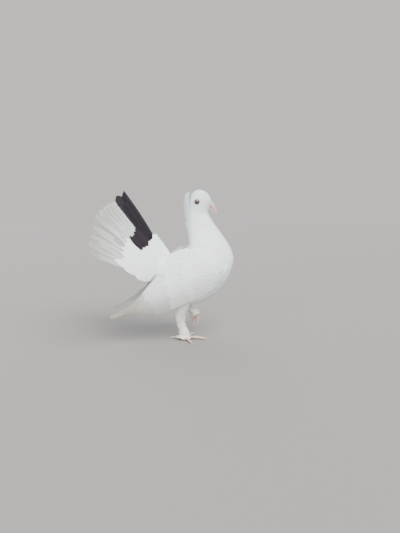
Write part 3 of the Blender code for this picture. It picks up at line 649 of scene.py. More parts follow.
# Length of a row of the wing in mm, about
ROW_LENGTH = 38
# Row of the wing where the hand begins
HAND_ROW = 3.3
# Height on the flat unwrap at which long feathers root
PATCH_FOOT = 0.03
# How deep the roots of the wing feathers lie
WING_SUNK = 1.5


def on_wing(side):
    """Outer face of the folded wing: u in rows from shoulder to tip, v from low to high edge."""

    def surface(u, v):
        lx, lz, hx, hz, low, mid, high, _ = np.moveaxis(along(WING, u), -1, 0)
        out = low * (1 - v) * (1 - 2 * v) + mid * 4 * v * (1 - v) + high * v * (2 * v - 1)
        x = lx + (hx - lx) * v
        x = x + WING_STRETCH[side] * np.minimum(x - THIGH_X, 0)
        return np.stack((x, side * out, lz + (hz - lz) * v), axis=-1)

    return surface


def wing_arm(side):
    """Skin of the arm, full near the shoulder and thin to the rear."""
    u, v = crossed(np.linspace(0, WING_ARM_END, 60), np.linspace(0, 1, 21))
    u = u * (1 - 0.2 * (2 * v - 1) ** 2)
    # Toward its end the arm draws in from the low edge and lies deeper under the feathers
    end = ramp(u, 2.6, 4.0)
    depth = along(WING, u)[..., 7] * (0.22 + 2.9 * v * (1 - v)) * (1 - 0.88 * end)
    v = v + 0.2 * end * (1 - v)
    under = (WING_SKIN_DEPTH + 1.8 * end)[..., None]
    surface = on_wing(side)
    out = facing(surface, u, v)[2] * side
    outer = surface(u, v) - out * under
    inner = surface(u, v) - out * (under + depth[..., None])
    rings = np.concatenate((outer, inner[:, ::-1]), axis=1)
    if side == LEFT:
        rings = rings[:, ::-1]
    return skin_piece("wing_arm_" + SIDE_NAMES[side], rings, np.linspace(0, 1, rings.shape[1]), u[:, :1] / 6)


def lay_long(surface, outside, shaft_p, shaft_q, half, length, columns=WING_COLUMNS, steps=None):
    """Where the points of long feathers fall: their shafts follow given paths on the surface.

    half holds the half width at each row, on the first and on the second side of the shaft;
    steps are the shares of the length where the rows stand, even ones where none are given.
    """
    columns = np.array(columns)
    steps = np.linspace(0, 1, shaft_p.shape[1]) if steps is None else steps
    scale = np.linalg.norm(facing(surface, shaft_p, shaft_q)[1], axis=-1)
    x = np.where(columns < 0, half[0][..., None], half[1][..., None]) * columns
    q = shaft_q[..., None] - outside * x / scale[..., None]
    return shaft_p[..., None] + 0 * x, q, x, each(length) * steps[:, None] + 0 * x


def flight_width(rows, root, round_from):
    """Half width along a long feather as a share of its widest: at its root, then to its round tip."""
    s = np.linspace(0, 1, rows)
    wide = np.minimum(1, root + (1 - root) * s / 0.3)
    return wide * np.sqrt(np.maximum(1 - ramp(s, round_from, 1) ** 2.2, 0.015))


def frayed(draw, count, rows, depth, notches, notch):
    """Uneven vane edges: slight waves and a few splits where barbs have parted."""
    edge = 1 - depth * draw.random((count, rows))
    for k in range(count):
        for row in draw.integers(rows // 3, rows - 1, notches):
            edge[k, row] *= 1 - notch * draw.random()
    return edge


def both_sides(draw, wide, count, *edges):
    """Half widths on the two sides of each shaft, each with its own uneven edge."""
    return [wide * frayed(draw, count, len(wide), *edges) for _ in range(2)]


def shaft_rise(laid):
    """A raised shaft that fades to the tip."""
    share = laid[3] / laid[3].max(axis=(1, 2), keepdims=True)
    return 0.32 * (1 - share) * (np.abs(laid[2]) < 0.05)


def primaries(side):
    """The long flight feathers of the hand, the first ones on top."""
    rows = 30
    k = np.arange(PRIMARIES) / (PRIMARIES - 1)
    f = np.linspace(0, 1, rows)
    tip_u, tip_v = 4.9 + 1.1 * k**0.85, 0.88 - 0.54 * k
    root_v = 0.8 - 0.72 * k
    u = HAND_ROW + (tip_u - HAND_ROW)[:, None] * f
    v = root_v[:, None] + (tip_v - root_v)[:, None] * f
    draw = np.random.default_rng(21 + side)
    halves = both_sides(draw, 6.4 * flight_width(rows, 0.6, 0.7), PRIMARIES, 0.03, 2, 0.12)
    laid = lay_long(on_wing(side), side, u, v, halves, 100 + 20 * k)
    step = 0.72 / (PRIMARIES - 1)
    layer = np.clip((0.8 - laid[1]) / step - each(np.arange(PRIMARIES)), -2.5, 2.5)
    height = -WING_SUNK + PRIMARY_LAYER * layer * (0.35 + 0.65 * f[:, None]) + shaft_rise(laid)
    tone = 0.5 * draw.random(PRIMARIES)
    # Towards its tip the right wing turns warmer and darker, partly dirt and partly painted shade; the left
    # wing, on the far side, is left without it, which is painted light
    dirt_and_shade = 0.55 * ramp(laid[0], 3.6, 5.8) * (side == RIGHT)
    roots, patch = pair(0.05 + 0.9 * k, PATCH_FOOT), (0.07, 0.94)
    name = "primaries_" + SIDE_NAMES[side]
    return vane_piece(name, on_wing(side), side, laid, height, 0.5, roots, tone, patch=patch, dirt_and_shade=dirt_and_shade)


def tier_piece(name, surface, outside, draw, laid, stand, tilt, bow, shaft, across, patch, **more):
    """A tier of long feathers that rise from root to tip, with one side over the next feather.

    stand is the height of roots and tips, tilt how much each point is raised or lowered to lap
    its neighbour, bow how the vane drops to its sides, and across the places of the roots on
    the flat unwrap.
    """
    f = np.linspace(0, 1, laid[0].shape[1])[:, None]
    height = stand[0] + (stand[1] - stand[0]) * f + tilt * (0.3 + 0.7 * f)
    height = height - bow * laid[2] ** 2 + shaft * shaft_rise(laid)
    roots, tone = pair(across, PATCH_FOOT), 0.6 * draw.random(len(across))
    return vane_piece(name, surface, outside, laid, height, 0.3, roots, tone, patch=(patch, 0.94), **more)


def wing_tier(side, seed, name, count, root_u, low_u, high_u, half, stand):
    """A tier of feathers across the wing, with their tips at one height over it."""
    rows = 16
    f = np.linspace(0, 1, rows)
    draw = np.random.default_rng(seed + 10 * side)
    root_v = 0.04 + 0.92 * np.arange(count) / (count - 1)
    tip_u = low_u + (high_u - low_u) * root_v + draw.uniform(-0.1, 0.1, count)
    u = root_u + (tip_u - root_u)[:, None] * f
    v = root_v[:, None] + 0 * f + draw.uniform(-0.012, 0.012, count)[:, None] * f
    halves = both_sides(draw, half * flight_width(rows, 0.6, 0.72), count, 0.03, 1, 0.1)
    laid = lay_long(on_wing(side), side, u, v, halves, (tip_u - root_u) * ROW_LENGTH)
    name, rise, tilt = name + "_" + SIDE_NAMES[side], (-WING_SUNK, stand), 0.06 * side * laid[2]
    across = root_v * 0.94 + 0.03
    return tier_piece(name, on_wing(side), side, draw, laid, rise, tilt, 0.008, 0.5, across, 0.05, soft=0.5)


def small_coverts(side):
    """Lesser coverts over the shoulder and scapulars along the upper edge."""
    surface = on_wing(side)
    p, q = scatter(surface, (-0.25, 3.6), (-0.02, 1.04), lambda u, v: 2.3 + 0.5 * u, 30000, 41 + side)
    kept = (p < 1.75) | (q > 0.93 - 0.02 * p) & (p < 3.3)
    p, q = p[kept], q[kept]
    draw = np.random.default_rng(43 + side)
    length = (8.0 + 2.2 * p) * draw.uniform(0.9, 1.1, len(p))
    half = 0.27 * length
    lean = draw.normal(0, 0.08, len(p))
    laid = lay_vanes(surface, side, p, q, length, half, CONTOUR, CONTOUR_COLUMNS, ahead=1, lean=lean)
    lift = each(draw.uniform(0, 0.4, len(p)))
    height = -WING_SUNK + (1.7 + lift) * laid[3] / each(length) - 0.1 * laid[2] ** 2 / each(half)
    roots, tone = pair(np.clip(q, 0, 1) * 0.98, (p + 0.3) / 6.6), draw.random(len(p)) ** 2
    name = "small_coverts_" + SIDE_NAMES[side]
    return vane_piece(name, surface, side, laid, height, 0.12, roots, tone, soft=SOFTNESS)


# White and cream of the flight feathers, greyer and darker than the body's: painted shade on the wing's rear
# and tips and under the tail
QUILL_SHADED_WHITE = (0.70, 0.742, 0.737, 1)
QUILL_SHADED_CREAM = (0.29, 0.268, 0.218, 1)
# Spacing of the barbs, width of the shaft, relief and roughness: stiff feathers, then soft ones
QUILL = (0.7, 0.7, 0.16, 0.66)
flight_feather_material = feather_material("flight_feather", *QUILL, QUILL_SHADED_WHITE, QUILL_SHADED_CREAM)
WING_COVERT_WHITE = (0.79, 0.835, 0.83, 1)
WING_COVERT_CREAM = (0.62, 0.575, 0.48, 1)
COVERT = (0.6, 0.4, 0.12, 0.7)
wing_covert_material = feather_material("wing_covert", *COVERT, WING_COVERT_WHITE, WING_COVERT_CREAM)
covert_material = feather_material("covert", *COVERT, gloss=0.14, bloom=0.03)
# Tiers: seed, name, count, root row, tip row at the low edge and at the high edge, half width,
# height of the tips
WING_TIERS = [
    (flight_feather_material, (30, "secondaries", 12, 2.15, 3.8, 4.6, 7.4, -0.5)),
    (wing_covert_material, (31, "greater_coverts", 14, 1.7, 2.95, 3.5, 6.0, -0.2)),
    (covert_material, (32, "median_coverts", 16, 1.15, 2.3, 2.75, 5.2, 0.0)),
]
for side in (LEFT, RIGHT):
    dress(wing_arm(side), skin_material, "wing_" + SIDE_NAMES[side])
    dress(primaries(side), flight_feather_material)
    for material, tier in WING_TIERS:
        dress(wing_tier(side, *tier), material)
    dress(small_coverts(side), body_feather_material)


# Tail fan
# Thirty-two long feathers stand in a raised fan, the middle ones on top of their neighbours.
# Four on each side of the middle are slate black, and so are some of the coverts beside them.
# The vanes have parted in places, so that narrow slits run in from the tips.
FAN_ROOT = (-30, 24, 152)
FAN_ROOT_BACK = 22
FAN_ROOT_DOWN = 26
FAN_LENGTH = 147
FAN_ELEVATION = 59.5
FAN_DROP = 37.5
FAN_DROP_POWER = 1.28
FAN_RIDGE = 0.15
FAN_SWEEP = 43
FAN_BEND = 4
FAN_PAIRS = 16
FAN_HALF_WIDTH = 12.0
COVERT_CROWN = 10.5
# How the heap of coverts ends along the fan and thins to its sides
COVERT_REACH = 80
COVERT_FALL = 1.1
COVERT_NARROWS = 0.75
# Sections of the tail's base: distance along the fan, height over and under it
TAIL_BASE = [(2, 2.4, -3.6), (20, 1.6, -3.0), (44, 0.6, -1.4)]
FAN_LAYER = 0.75
FAN_ROWS = 44
DARK_PAIRS = 4
# One feather of the right half is painted warmer and darker, as shade with a warm cast
SHADED_WARM_FEATHER = 10
# Tail feathers from the middle to the side, from the fan's root to their tips
TAIL_LENGTHS = [147, 143, 134.5, 146, 141.5, 143, 145.5, 148]
TAIL_LENGTHS += [149.5, 150, 147, 144.5, 140.5, 142, 140, 135]
TAIL_ROOT = 14
# The last rows of a feather are frayed by up to this share
FRAYED_ROWS = 5
FRAYED_TIP = 0.24
# Slits: place across the fan, distance from the root where they open, width at the tips
SLITS = {
    RIGHT: [
        (0.162, 128, 2.0),
        (0.512, 134, 1.6),
        (0.604, 97, 2.2),
        (0.708, 104, 5.5),
        (0.815, 106, 2.2),
        (0.868, 124, 1.5),
    ],
    LEFT: [(0.19, 130, 1.6), (0.42, 116, 2.0), (0.66, 102, 4.0), (0.84, 112, 2.0)],
}


def fan_line(s, a):
    """Straight lines of the fan's feathers: s mm from the root, a across it from -1 to 1."""
    fall = np.abs(a) ** 1.3
    drop = (a * a + FAN_RIDGE**2) ** (FAN_DROP_POWER / 2) - FAN_RIDGE**FAN_DROP_POWER
    elevation = np.radians(FAN_ELEVATION - FAN_DROP * drop)
    sweep = np.radians(FAN_SWEEP * a)
    flat = np.cos(elevation)
    heading = np.stack((-flat * np.cos(sweep), flat * np.sin(sweep), np.sin(elevation)), axis=-1)
    x, y, z = FAN_ROOT
    root = np.stack((x - FAN_ROOT_BACK * fall, y * a, z - FAN_ROOT_DOWN * fall), axis=-1)
    return root + heading * s[..., None], heading


def on_fan(s, a):
    """Upper face of the fan, bowed along its feathers."""
    s, a = np.broadcast_arrays(np.asarray(s, float), np.asarray(a, float))
    here, heading = fan_line(s, a)
    across = fan_line(s, a + 0.01)[0] - fan_line(s, a - 0.01)[0]
    up = unit(np.cross(across, heading))
    f = s / FAN_LENGTH
    return here + up * (FAN_BEND * 4 * f * (1 - f))[..., None]


def tail_base():
    """The wedge of flesh and quills inside the coverts."""
    a = np.linspace(-1, 1, 33)
    rings = []
    for s, top, low in TAIL_BASE:
        out = -facing(on_fan, s, a)[2]
        rings.append(np.concatenate((on_fan(s, a) + out * top, (on_fan(s, a) + out * low)[::-1])))
    rings, down = np.array(rings)[:, ::-1], np.array([[0.02], [0.13], [0.3]])
    return skin_piece("tail_base", rings, np.linspace(0, 1, rings.shape[1]), down, np.zeros(rings.shape[:2]))


def tail_feathers(side):
    """The long feathers of one half of the fan, cut back where a slit runs in between two."""
    step = 1 / (FAN_PAIRS - 0.5)
    i = np.arange(FAN_PAIRS)
    a0 = (i + 0.5) * step
    draw = np.random.default_rng(51 + side)
    a_tip = a0 + draw.uniform(-0.006, 0.006, FAN_PAIRS)
    a_tip[0] = 0.006
    length = np.array(TAIL_LENGTHS) + draw.uniform(-1.0, 1.0, FAN_PAIRS)
    f = np.linspace(0, 1, FAN_ROWS)
    s = TAIL_ROOT + (length - TAIL_ROOT)[:, None] * f
    a = a0[:, None] + (a_tip - a0)[:, None] * f**2
    wide = FAN_HALF_WIDTH * (1 - 0.12 * i / FAN_PAIRS)[:, None] * flight_width(FAN_ROWS, 0.35, 0.9)
    scale = np.linalg.norm(facing(on_fan, s, side * a)[1], axis=-1)
    halves = []
    for way in (-1, 1):
        room = wide * frayed(draw, FAN_PAIRS, FAN_ROWS, 0.03, 3, 0.09)
        room[:, -FRAYED_ROWS:] *= 1 - FRAYED_TIP * draw.random((FAN_PAIRS, FRAYED_ROWS))
        for where, start, gap in SLITS[side]:
            beyond = (where - a) * way * side > 0
            open_by = gap / 2 * ramp(s, start, FAN_LENGTH) ** 0.8
            reach = np.maximum(np.abs(where - a) * scale - open_by, 1.2)
            room = np.where((s > start - 2) & beyond, np.minimum(room, reach), room)
        halves.append(room)
    laid = lay_long(on_fan, -1, s, side * a, halves, length)
    layer = np.clip(side * laid[1] / step - each(i + 0.5), -2.2, 2.2)
    height = FAN_LAYER * layer - 0.25 * (side == LEFT) + shaft_rise(laid)
    dark = each(i < DARK_PAIRS) + 0 * laid[1]
    tone = 0.7 * draw.random(FAN_PAIRS)
    # Towards the tips the fan turns warmer and darker, partly dirt and partly painted shade; one feather of
    # the right half gets more of it, painted shade with a warm cast
    dirt_and_shade = ramp(laid[0], 55, 135) * each(draw.uniform(0.6, 0.85, FAN_PAIRS))
    if side == RIGHT:
        dirt_and_shade[SHADED_WARM_FEATHER] += 0.5
    roots, patch = pair(0.03 + 0.96 * i / FAN_PAIRS, PATCH_FOOT), (0.05, 0.94)
    name = "tail_feathers_" + SIDE_NAMES[side]
    return vane_piece(name, on_fan, -1, laid, height, 0.45, roots, tone, dark, patch=patch, dirt_and_shade=dirt_and_shade)


def crown(s, a):
    """How high the heap of coverts over the base of the tail stands above the fan."""
    near = ramp(s, COVERT_REACH, 0) ** COVERT_FALL
    return COVERT_CROWN * near * np.clip(1 - COVERT_NARROWS * np.abs(a), 0, 1)


def tail_coverts(side, outside, name, seed, a0, lengths, half, stand, darks=0):
    """A tier of feathers over the fan's base, or under it where outside is 1."""
    count, rows = len(lengths), 14
    draw = np.random.default_rng(seed + side)
    f = np.linspace(0, 1, rows)
    gap = (a0[-1] - a0[0]) / (count - 1)
    length = np.array(lengths) + draw.uniform(-3, 3, count)
    s = 4 + (length - 4)[:, None] * f
    halves = both_sides(draw, half * flight_width(rows, 0.6, 0.62), count, 0.05, 2, 0.15)
    laid = lay_long(on_fan, outside, s, side * (a0[:, None] + 0 * f), halves, length)
    layer = np.clip((side * laid[1] - each(a0)) / gap, -1.5, 1.5)
    dark = each(np.arange(count) < darks) + 0 * laid[1]
    heap = crown(laid[0], laid[1]) if outside == -1 else 0
    stand = (stand[0] + heap, stand[1] + heap)
    name, tilt = name + "_" + SIDE_NAMES[side], 0.6 * layer
    across = 0.04 + 0.94 * np.arange(count) / count
    return tier_piece(name, on_fan, outside, draw, laid, stand, tilt, 0.01, 0.5, across, 0.06, dark=dark)


VENT_ROW = 0.45
VENT_AROUND = math.radians(112)
VENT_REACH = 66
# How strongly the funnel leaves the body backwards and meets the fan along it
VENT_LEAVES = 16
VENT_MEETS = 58
VENT_BELOW_FAN = 2.2
# Tiers of the funnel: root and tip as shares of the way to the fan, feathers, half width, stand
VENT_TIERS = [
    (-0.05, 1.25, 29, 8.5, 0.0),
    (-0.1, 0.92, 27, 7.5, 1.0),
    (-0.15, 0.66, 25, 6.2, 2.0),
    (-0.2, 0.42, 23, 5.0, 3.0),
]


def on_vent(s, a):
    """Funnel under the tail: s is 0 at the round vent and 1 on the underside of the fan."""
    s, a = np.broadcast_arrays(np.asarray(s, float), np.asarray(a, float))
    across = np.clip(a, -1.08, 1.08)
    start = on_body(VENT_ROW + 0 * s, across * VENT_AROUND)
    back = -VENT_LEAVES * unit(facing(on_body, VENT_ROW + 0 * s, across * VENT_AROUND)[0])
    reach = VENT_REACH * (1 + 0.12 * (s - 1))
    under = facing(on_fan, reach, across)[2]
    end = on_fan(VENT_REACH, across) + under * VENT_BELOW_FAN
    ahead = VENT_MEETS * fan_line(VENT_REACH + 0 * s, across)[1]
    t = np.clip(s, 0, 1)[..., None]
    bend = (2 * t**3 - 3 * t**2 + 1) * start + (t**3 - 2 * t**2 + t) * back
    bend = bend + (3 * t**2 - 2 * t**3) * end + (t**3 - t**2) * ahead
    return bend + np.minimum(s, 0)[..., None] * back + np.maximum(s - 1, 0)[..., None] * ahead


def vent_feathers(tier, root, tip, count, half, stand):
    """Soft coverts that spread from the vent over the underside of the fan."""
    rows = 14
    draw = np.random.default_rng(95 + tier)
    f = np.linspace(0, 1, rows)
    a0 = np.linspace(-1.02, 1.02, count) + draw.uniform(-0.012, 0.012, count)
    top = tip + draw.uniform(-0.05, 0.05, count)
    s = root + (top - root)[:, None] * f
    halves = both_sides(draw, half * flight_width(rows, 0.5, 0.6), count, 0.06, 2, 0.2)
    laid = lay_long(on_vent, 1, s, a0[:, None] + 0 * f, halves, (top - root) * 70)
    inward = each(np.abs(a0)) - np.abs(laid[1])
    name, rise = "vent_feathers_%d" % tier, (stand / 2, stand + 0.6)
    across = 0.03 + 0.94 * np.arange(count) / count
    return tier_piece(name, on_vent, 1, draw, laid, rise, 9 * inward, 0.012, 0.4, across, 0.03, soft=0.4)


# White and cream of the tail fan, much darker than the body's: painted shade on the fan
TAIL_SHADED_WHITE = (0.63, 0.67, 0.67, 1)
TAIL_SHADED_CREAM = (0.255, 0.247, 0.212, 1)
tail_feather_material = feather_material("tail_feather", *QUILL, TAIL_SHADED_WHITE, TAIL_SHADED_CREAM, 0.14, 0.03)
LONG_PLACES = np.array([0.37, 0.43, 0.49, 0.55, 0.63, 0.71, 0.79, 0.87, 0.95, 1.02, 1.08])
LONG_LENGTHS = [84, 84, 81, 79, 84, 84, 82, 80, 78, 92, 70]
SHORT_LENGTHS = [51, 53, 51, 47, 49, 46, 50, 54, 50, 55, 52, 56, 54, 58, 54, 44]
RUMP_LENGTHS = [33, 36, 39] * 5
BASE_LENGTHS = [19, 21, 23] * 4 + [19]
# Tiers: name, seed, places across the fan, lengths, half width, how high roots and tips stand,
# and how many of the first ones are black
UPPER_COVERTS = [
    ("long_coverts", 61, LONG_PLACES, LONG_LENGTHS, 8.0, (1.6, 2.0), 4),
    ("short_coverts", 71, 0.03 + 0.075 * np.arange(16), SHORT_LENGTHS, 7.5, (2.1, 2.7)),
    ("rump_coverts", 81, 0.04 + 0.08 * np.arange(15), RUMP_LENGTHS, 6.5, (2.6, 3.2)),
    ("base_coverts", 86, 0.03 + 0.09 * np.arange(13), BASE_LENGTHS, 6.0, (2.8, 3.4)),
]
UNDER_PLACES = 0.05 + 0.1 * np.arange(10)
UNDER_COVERTS = ("under_coverts_0", 91, UNDER_PLACES, 92 - 6 * UNDER_PLACES, 9.0, (2.2, 2.6))
for tier, sizes in enumerate(VENT_TIERS):
    dress(vent_feathers(tier, *sizes), flight_feather_material)
dress(tail_base(), skin_material, "tail_left", "tail_right")
for side in (LEFT, RIGHT):
    dress(tail_feathers(side), tail_feather_material)
    for tier in UPPER_COVERTS:
        dress(tail_coverts(side, -1, *tier), covert_material)
    dress(tail_coverts(side, 1, *UNDER_COVERTS), flight_feather_material)


# Shell crest
# A shell of small feathers grows up from the nape and curls round the back of the head from side
# to side, standing a little off it. Its feathers lie upwards, on both faces, and longer ones
# make its uneven rim.
CREST_AXIS_X = 28
# Rows from nape to tips: back x, z, half width
CREST = [
    (6.8, 214.5, 20.5),
    (5.0, 224, 19.6),
    (3.7, 234, 18.8),
    (2.9, 244, 18.4),
    (2.6, 254, 18.2),
    (3.3, 264.5, 18.2),
    (5.6, 275.5, 17.8),
]
CREST_SPREAD = math.radians(51)
CREST_HEIGHT = 62
CREST_COAT = 0.5
CREST_SAG = 0.5
# Thickness of the shell by rise
CREST_THICKNESS = [(-0.06, 6.5), (0.2, 5.6), (0.5, 4.6), (0.8, 3.0), (1.0, 1.8), (1.1, 1.4)]


def on_crest(rise, round_it):
    """Closed face of the crest: rise from nape to tips, round_it radians round its thin section.

    0 is the middle of the outer face, half a turn the middle of the inner one.
    """
    rise, round_it = np.broadcast_arrays(np.asarray(rise, float), np.asarray(round_it, float))
    x, z, wide = np.moveaxis(along(CREST, rise * (len(CREST) - 1)), -1, 0)
    turn = CREST_SPREAD * np.sin(round_it)
    thick = np.interp(rise, *np.array(CREST_THICKNESS).T)
    depth = thick * (1 - np.cos(round_it)) / 2
    sag = CREST_SAG * np.abs(np.sin(round_it)) ** 3 * np.clip(rise, 0, 1)
    reach = CREST_AXIS_X - x - depth
    return np.stack((CREST_AXIS_X - reach * np.cos(turn), (wide - depth) * np.sin(turn), z - sag), axis=-1)


def crest_skin():
    """The fleshy fold that carries the feathers, thick at the nape and thin above."""
    rise, round_it = crossed(np.linspace(-0.04, 0.9, 26), angles(64))
    points = on_crest(rise, round_it)
    points = points - facing(on_crest, rise, round_it)[2] * CREST_COAT
    return skin_piece("crest_skin", points, round_it / FULL_TURN, rise)


def crest_feathers():
    """Small feathers that lie up both faces of the crest; the last ones make its uneven rim."""
    p, q = scatter(on_crest, (0.02, 0.92), (0, FULL_TURN), lambda p, q: 1.3 + 0.3 * p, 40000, 101)
    draw = np.random.default_rng(102)
    length = (7.5 + 2.5 * p) * draw.uniform(0.85, 1.1, len(p))
    # The rim stands highest at the sides of the head and lower behind it
    rim = 1.04 - 0.06 * draw.random(len(p)) - 0.17 * (np.cos(q) ** 4 - 0.3)
    length = np.minimum(length, (rim - p) * CREST_HEIGHT)
    half = 0.17 * length
    lean = draw.normal(0, 0.1, len(p))
    laid = lay_vanes(on_crest, 1, p, q, length, half, CONTOUR, CONTOUR_COLUMNS, 1, lean, draw)
    rise = laid[3] / each(length)
    lift = each(draw.uniform(-0.1, 0.35, len(p)))
    sunk = each(np.interp(p, (0.02, 0.16), (2.2, CREST_COAT)))
    height = -sunk * (1 - rise) + lift * rise - 0.15 * laid[2] ** 2 / each(half)
    roots, tone = pair(q / FULL_TURN, (p + 0.06) * 0.94), draw.random(len(p)) ** 2
    return vane_piece("crest_feathers", on_crest, 1, laid, height, 0.1, roots, tone, soft=SOFTNESS)


dress(crest_skin(), skin_material, "crest")
# The crest's white is greyer and bluer than the head's: painted half-shade
CREST_SHADED_WHITE = (0.64, 0.68, 0.71, 1)
crest_feather_material = feather_material("crest_feather", 0.5, 0.25, 0.1, 0.72, CREST_SHADED_WHITE)
dress(crest_feathers(), crest_feather_material)


# Legs
# The drumstick and the shank of each leg are feathered down to the toes. Short soft feathers lie
# down the leg, and a skirt of longer ones flares over the standing foot.
# Rows: centre x, y, z, half width along the body and across it; the last row is the skirt's hem
LEG_ROWS = {
    RIGHT: [
        (1, -18, 84, 16, 11),
        (0, -16, 70, 13.5, 11),
        (-3, -12, 56, 10, 9.5),
        (-4, -8, 43, 9.6, 8.5),
        (-3.2, -6, 32, 7.4, 7.0),
        (-2, -5, 26, 7.6, 7),
        (1.0, -4, 18, 8.2, 7.4),
        (2.4, -3, 10.5, 9.0, 8.2),
        (2.6, -3, 5.5, 9.4, 8.6),
        (2.2, -3, 1.0, 13.5, 12.0),
    ],
    LEFT: [
        (14, 18, 90, 15, 12),
        (11, 18, 76, 12.5, 11),
        (8, 18, 65, 9, 9),
        (8, 18, 57.5, 6.8, 6.8),
        (13, 18, 53.8, 6.3, 6.3),
        (18.5, 18, 50.5, 6.4, 6.4),
        (22.5, 18, 47, 6.2, 6.2),
        (24.5, 18, 41.5, 8.5, 8.0),
    ],
}
LEG_COAT = 1.1
# Cosine between a skin's facing and the way out from the leg, below which a place is in a fold
FOLD_LIMIT = 0.35
# No feather of the skirt comes nearer to the floor than this
FLOOR_CLEAR = 0.2
# Tiers of the skirt: first row, feathers, length, half width, flare at the tip
SKIRTS = {
    RIGHT: [
        (3.1, 15, 17, 2.6, 3.0),
        (5.2, 15, 14, 2.2, 2.4),
        (6.3, 17, 14, 2.0, 2.6),
        (7.0, 19, 12, 1.7, 3.4),
        (7.5, 23, 11, 1.4, 4.4),
    ],
    LEFT: [
        (1.6, 13, 12, 2.3, 1.8),
        (3.6, 13, 13, 2.0, 2.4),
        (4.4, 15, 13, 1.8, 2.6),
        (5.1, 17, 11, 1.5, 2.8),
    ],
}


def on_leg(side):
    """Skin of a leg: rows down from the body, turn radians round from the front."""
    rows = LEG_ROWS[side]

    def surface(row, turn):
        row, turn = np.broadcast_arrays(np.asarray(row, float), np.asarray(turn, float))
        here = along(rows, row)
        axis = unit(along(rows, row + 0.3)[..., :3] - along(rows, row - 0.3)[..., :3])
        across = unit(np.cross(axis, (1, 0, 0.2)))
        fore = np.cross(across, axis) * (here[..., 3] * np.cos(turn))[..., None]
        return here[..., :3] + (fore + across * (here[..., 4] * np.sin(turn))[..., None])

    return surface


def leg_skin(side):
    """Skin of a leg under its coat, without the row of the skirt's hem."""
    last = len(LEG_ROWS[side]) - 2
    rows, turn = crossed(np.linspace(0, last, 6 * last + 1), angles(28))
    points = on_leg(side)(rows, turn)
    points = points - unit(points - points.mean(axis=1, keepdims=True)) * LEG_COAT
    return skin_piece("leg_" + SIDE_NAMES[side], points[:, ::-1], turn / FULL_TURN, rows / last)


def lies_well(surface, laid):
    """True for each vane that stays clear of the folds inside the bends of a leg."""
    p, q = laid[0], laid[1]
    here = surface(p, q)
    away = here - (surface(p, 0 * q) + surface(p, math.pi + 0 * q)) / 2
    out = -facing(surface, p, q)[2]
    return ((away * out).sum(-1) > FOLD_LIMIT * np.linalg.norm(away, axis=-1)).all(axis=(1, 2))


def leg_feathers(side):
    """The close coat of the leg."""
    surface = on_leg(side)
    last = len(LEG_ROWS[side]) - 2
    span = (0.3, last - 0.5)
    p, q = scatter(surface, span, (0, FULL_TURN), lambda p, q: 1.9 + 0 * p, 18000, 121 + side)
    draw = np.random.default_rng(123 + side)
    length = 8.5 * draw.uniform(0.85, 1.15, len(p))
    slope = np.linalg.norm(facing(surface, p, q)[0], axis=-1)
    length = np.minimum(length, slope * (last + 0.8 - p))
    half = 1.3 * draw.uniform(0.9, 1.1, len(p))
    lean = draw.normal(0, 0.16, len(p))
    laid = lay_vanes(surface, -1, p, q, length, half, CONTOUR, CONTOUR_COLUMNS, 1, lean, draw)
    well = lies_well(surface, laid)
    laid = [v[well] for v in laid]
    p, q, length = p[well], q[well], length[well]
    lift = each(draw.uniform(0, 0.7, len(p)))
    height = -LEG_COAT + (1.2 + lift) * laid[3] / each(length) - 0.18 * laid[2] ** 2
    roots, tone = pair(q / FULL_TURN, p / last), draw.random(len(p)) ** 2
    name = "leg_feathers_" + SIDE_NAMES[side]
    return vane_piece(name, surface, -1, laid, height, 0.1, roots, tone, soft=SOFTNESS)


def leg_skirt(side):
    """Longer feathers that hang from the hock and flare over the foot."""
    surface = on_leg(side)
    last = len(LEG_ROWS[side]) - 1
    draw = np.random.default_rng(131 + side)
    p, q, length, half, flare = [], [], [], [], []
    for tier, (row, count, long, wide, out) in enumerate(SKIRTS[side]):
        p += list(row + draw.uniform(-0.12, 0.12, count))
        q += list(angles(count) + (tier % 2) * math.pi / count + draw.normal(0, 0.06, count))
        length += list(long * draw.uniform(0.85, 1.15, count))
        half += [wide] * count
        flare += list(out * draw.uniform(0.5, 1.3, count))
    p, q, length, half, flare = map(np.array, (p, q, length, half, flare))
    slope = np.linalg.norm(facing(surface, p, q)[0], axis=-1)
    length = np.minimum(length, slope * (last - 0.05 - 0.3 * draw.random(len(p)) - p))
    if side == LEFT:
        # Behind the raised foot the skirt hangs open
        flare = flare * (1 + 1.6 * np.clip(-np.cos(q), 0, 1))
    steps, widths = np.array(CONTOUR).T
    rows = p[:, None] + (length / slope)[:, None] * steps
    halves = [half[:, None] * widths] * 2
    laid = lay_long(surface, -1, rows, q[:, None] + 0 * rows, halves, length, CONTOUR_COLUMNS, steps)
    rise = laid[3] / each(length)
    height = -0.6 + each(flare) * rise**1.8 - 0.12 * laid[2] ** 2
    well = lies_well(surface, laid)
    laid = [v[well] for v in laid]
    p, q, height, rise = p[well], q[well], height[well], rise[well]
    roots, tone = pair(q / FULL_TURN % 1, p / last), draw.random(len(p)) ** 2
    # Towards its hem the skirt turns warmer and darker
    dirt_and_shade = 0.9 * ramp(each(p), last - 2.6, last - 1.2) * rise
    name = "leg_skirt_" + SIDE_NAMES[side]
    piece = vane_piece(name, surface, -1, laid, height, 0.14, roots, tone, soft=0.4, dirt_and_shade=dirt_and_shade)
    for corner in piece.data.vertices:
        corner.co.z = max(corner.co.z, FLOOR_CLEAR * MM)
    return piece


for side in (LEFT, RIGHT):
    name = SIDE_NAMES[side]
    dress(leg_skin(side), skin_material, "thigh_" + name, "shank_" + name)
    dress(leg_feathers(side), body_feather_material)
    dress(leg_skirt(side), body_feather_material)


# Feet
# Four bare pink toes on each foot, with pads beneath their joints and a row of small overlapping
# scutes along their tops. They are one skin with the ball of the foot.
FOOT_RIGHT = (2, -3, 2.2)
FOOT_LEFT = (24, 18, 43.5)
BALL_RADII = (6.2, 6.4, 5.0)
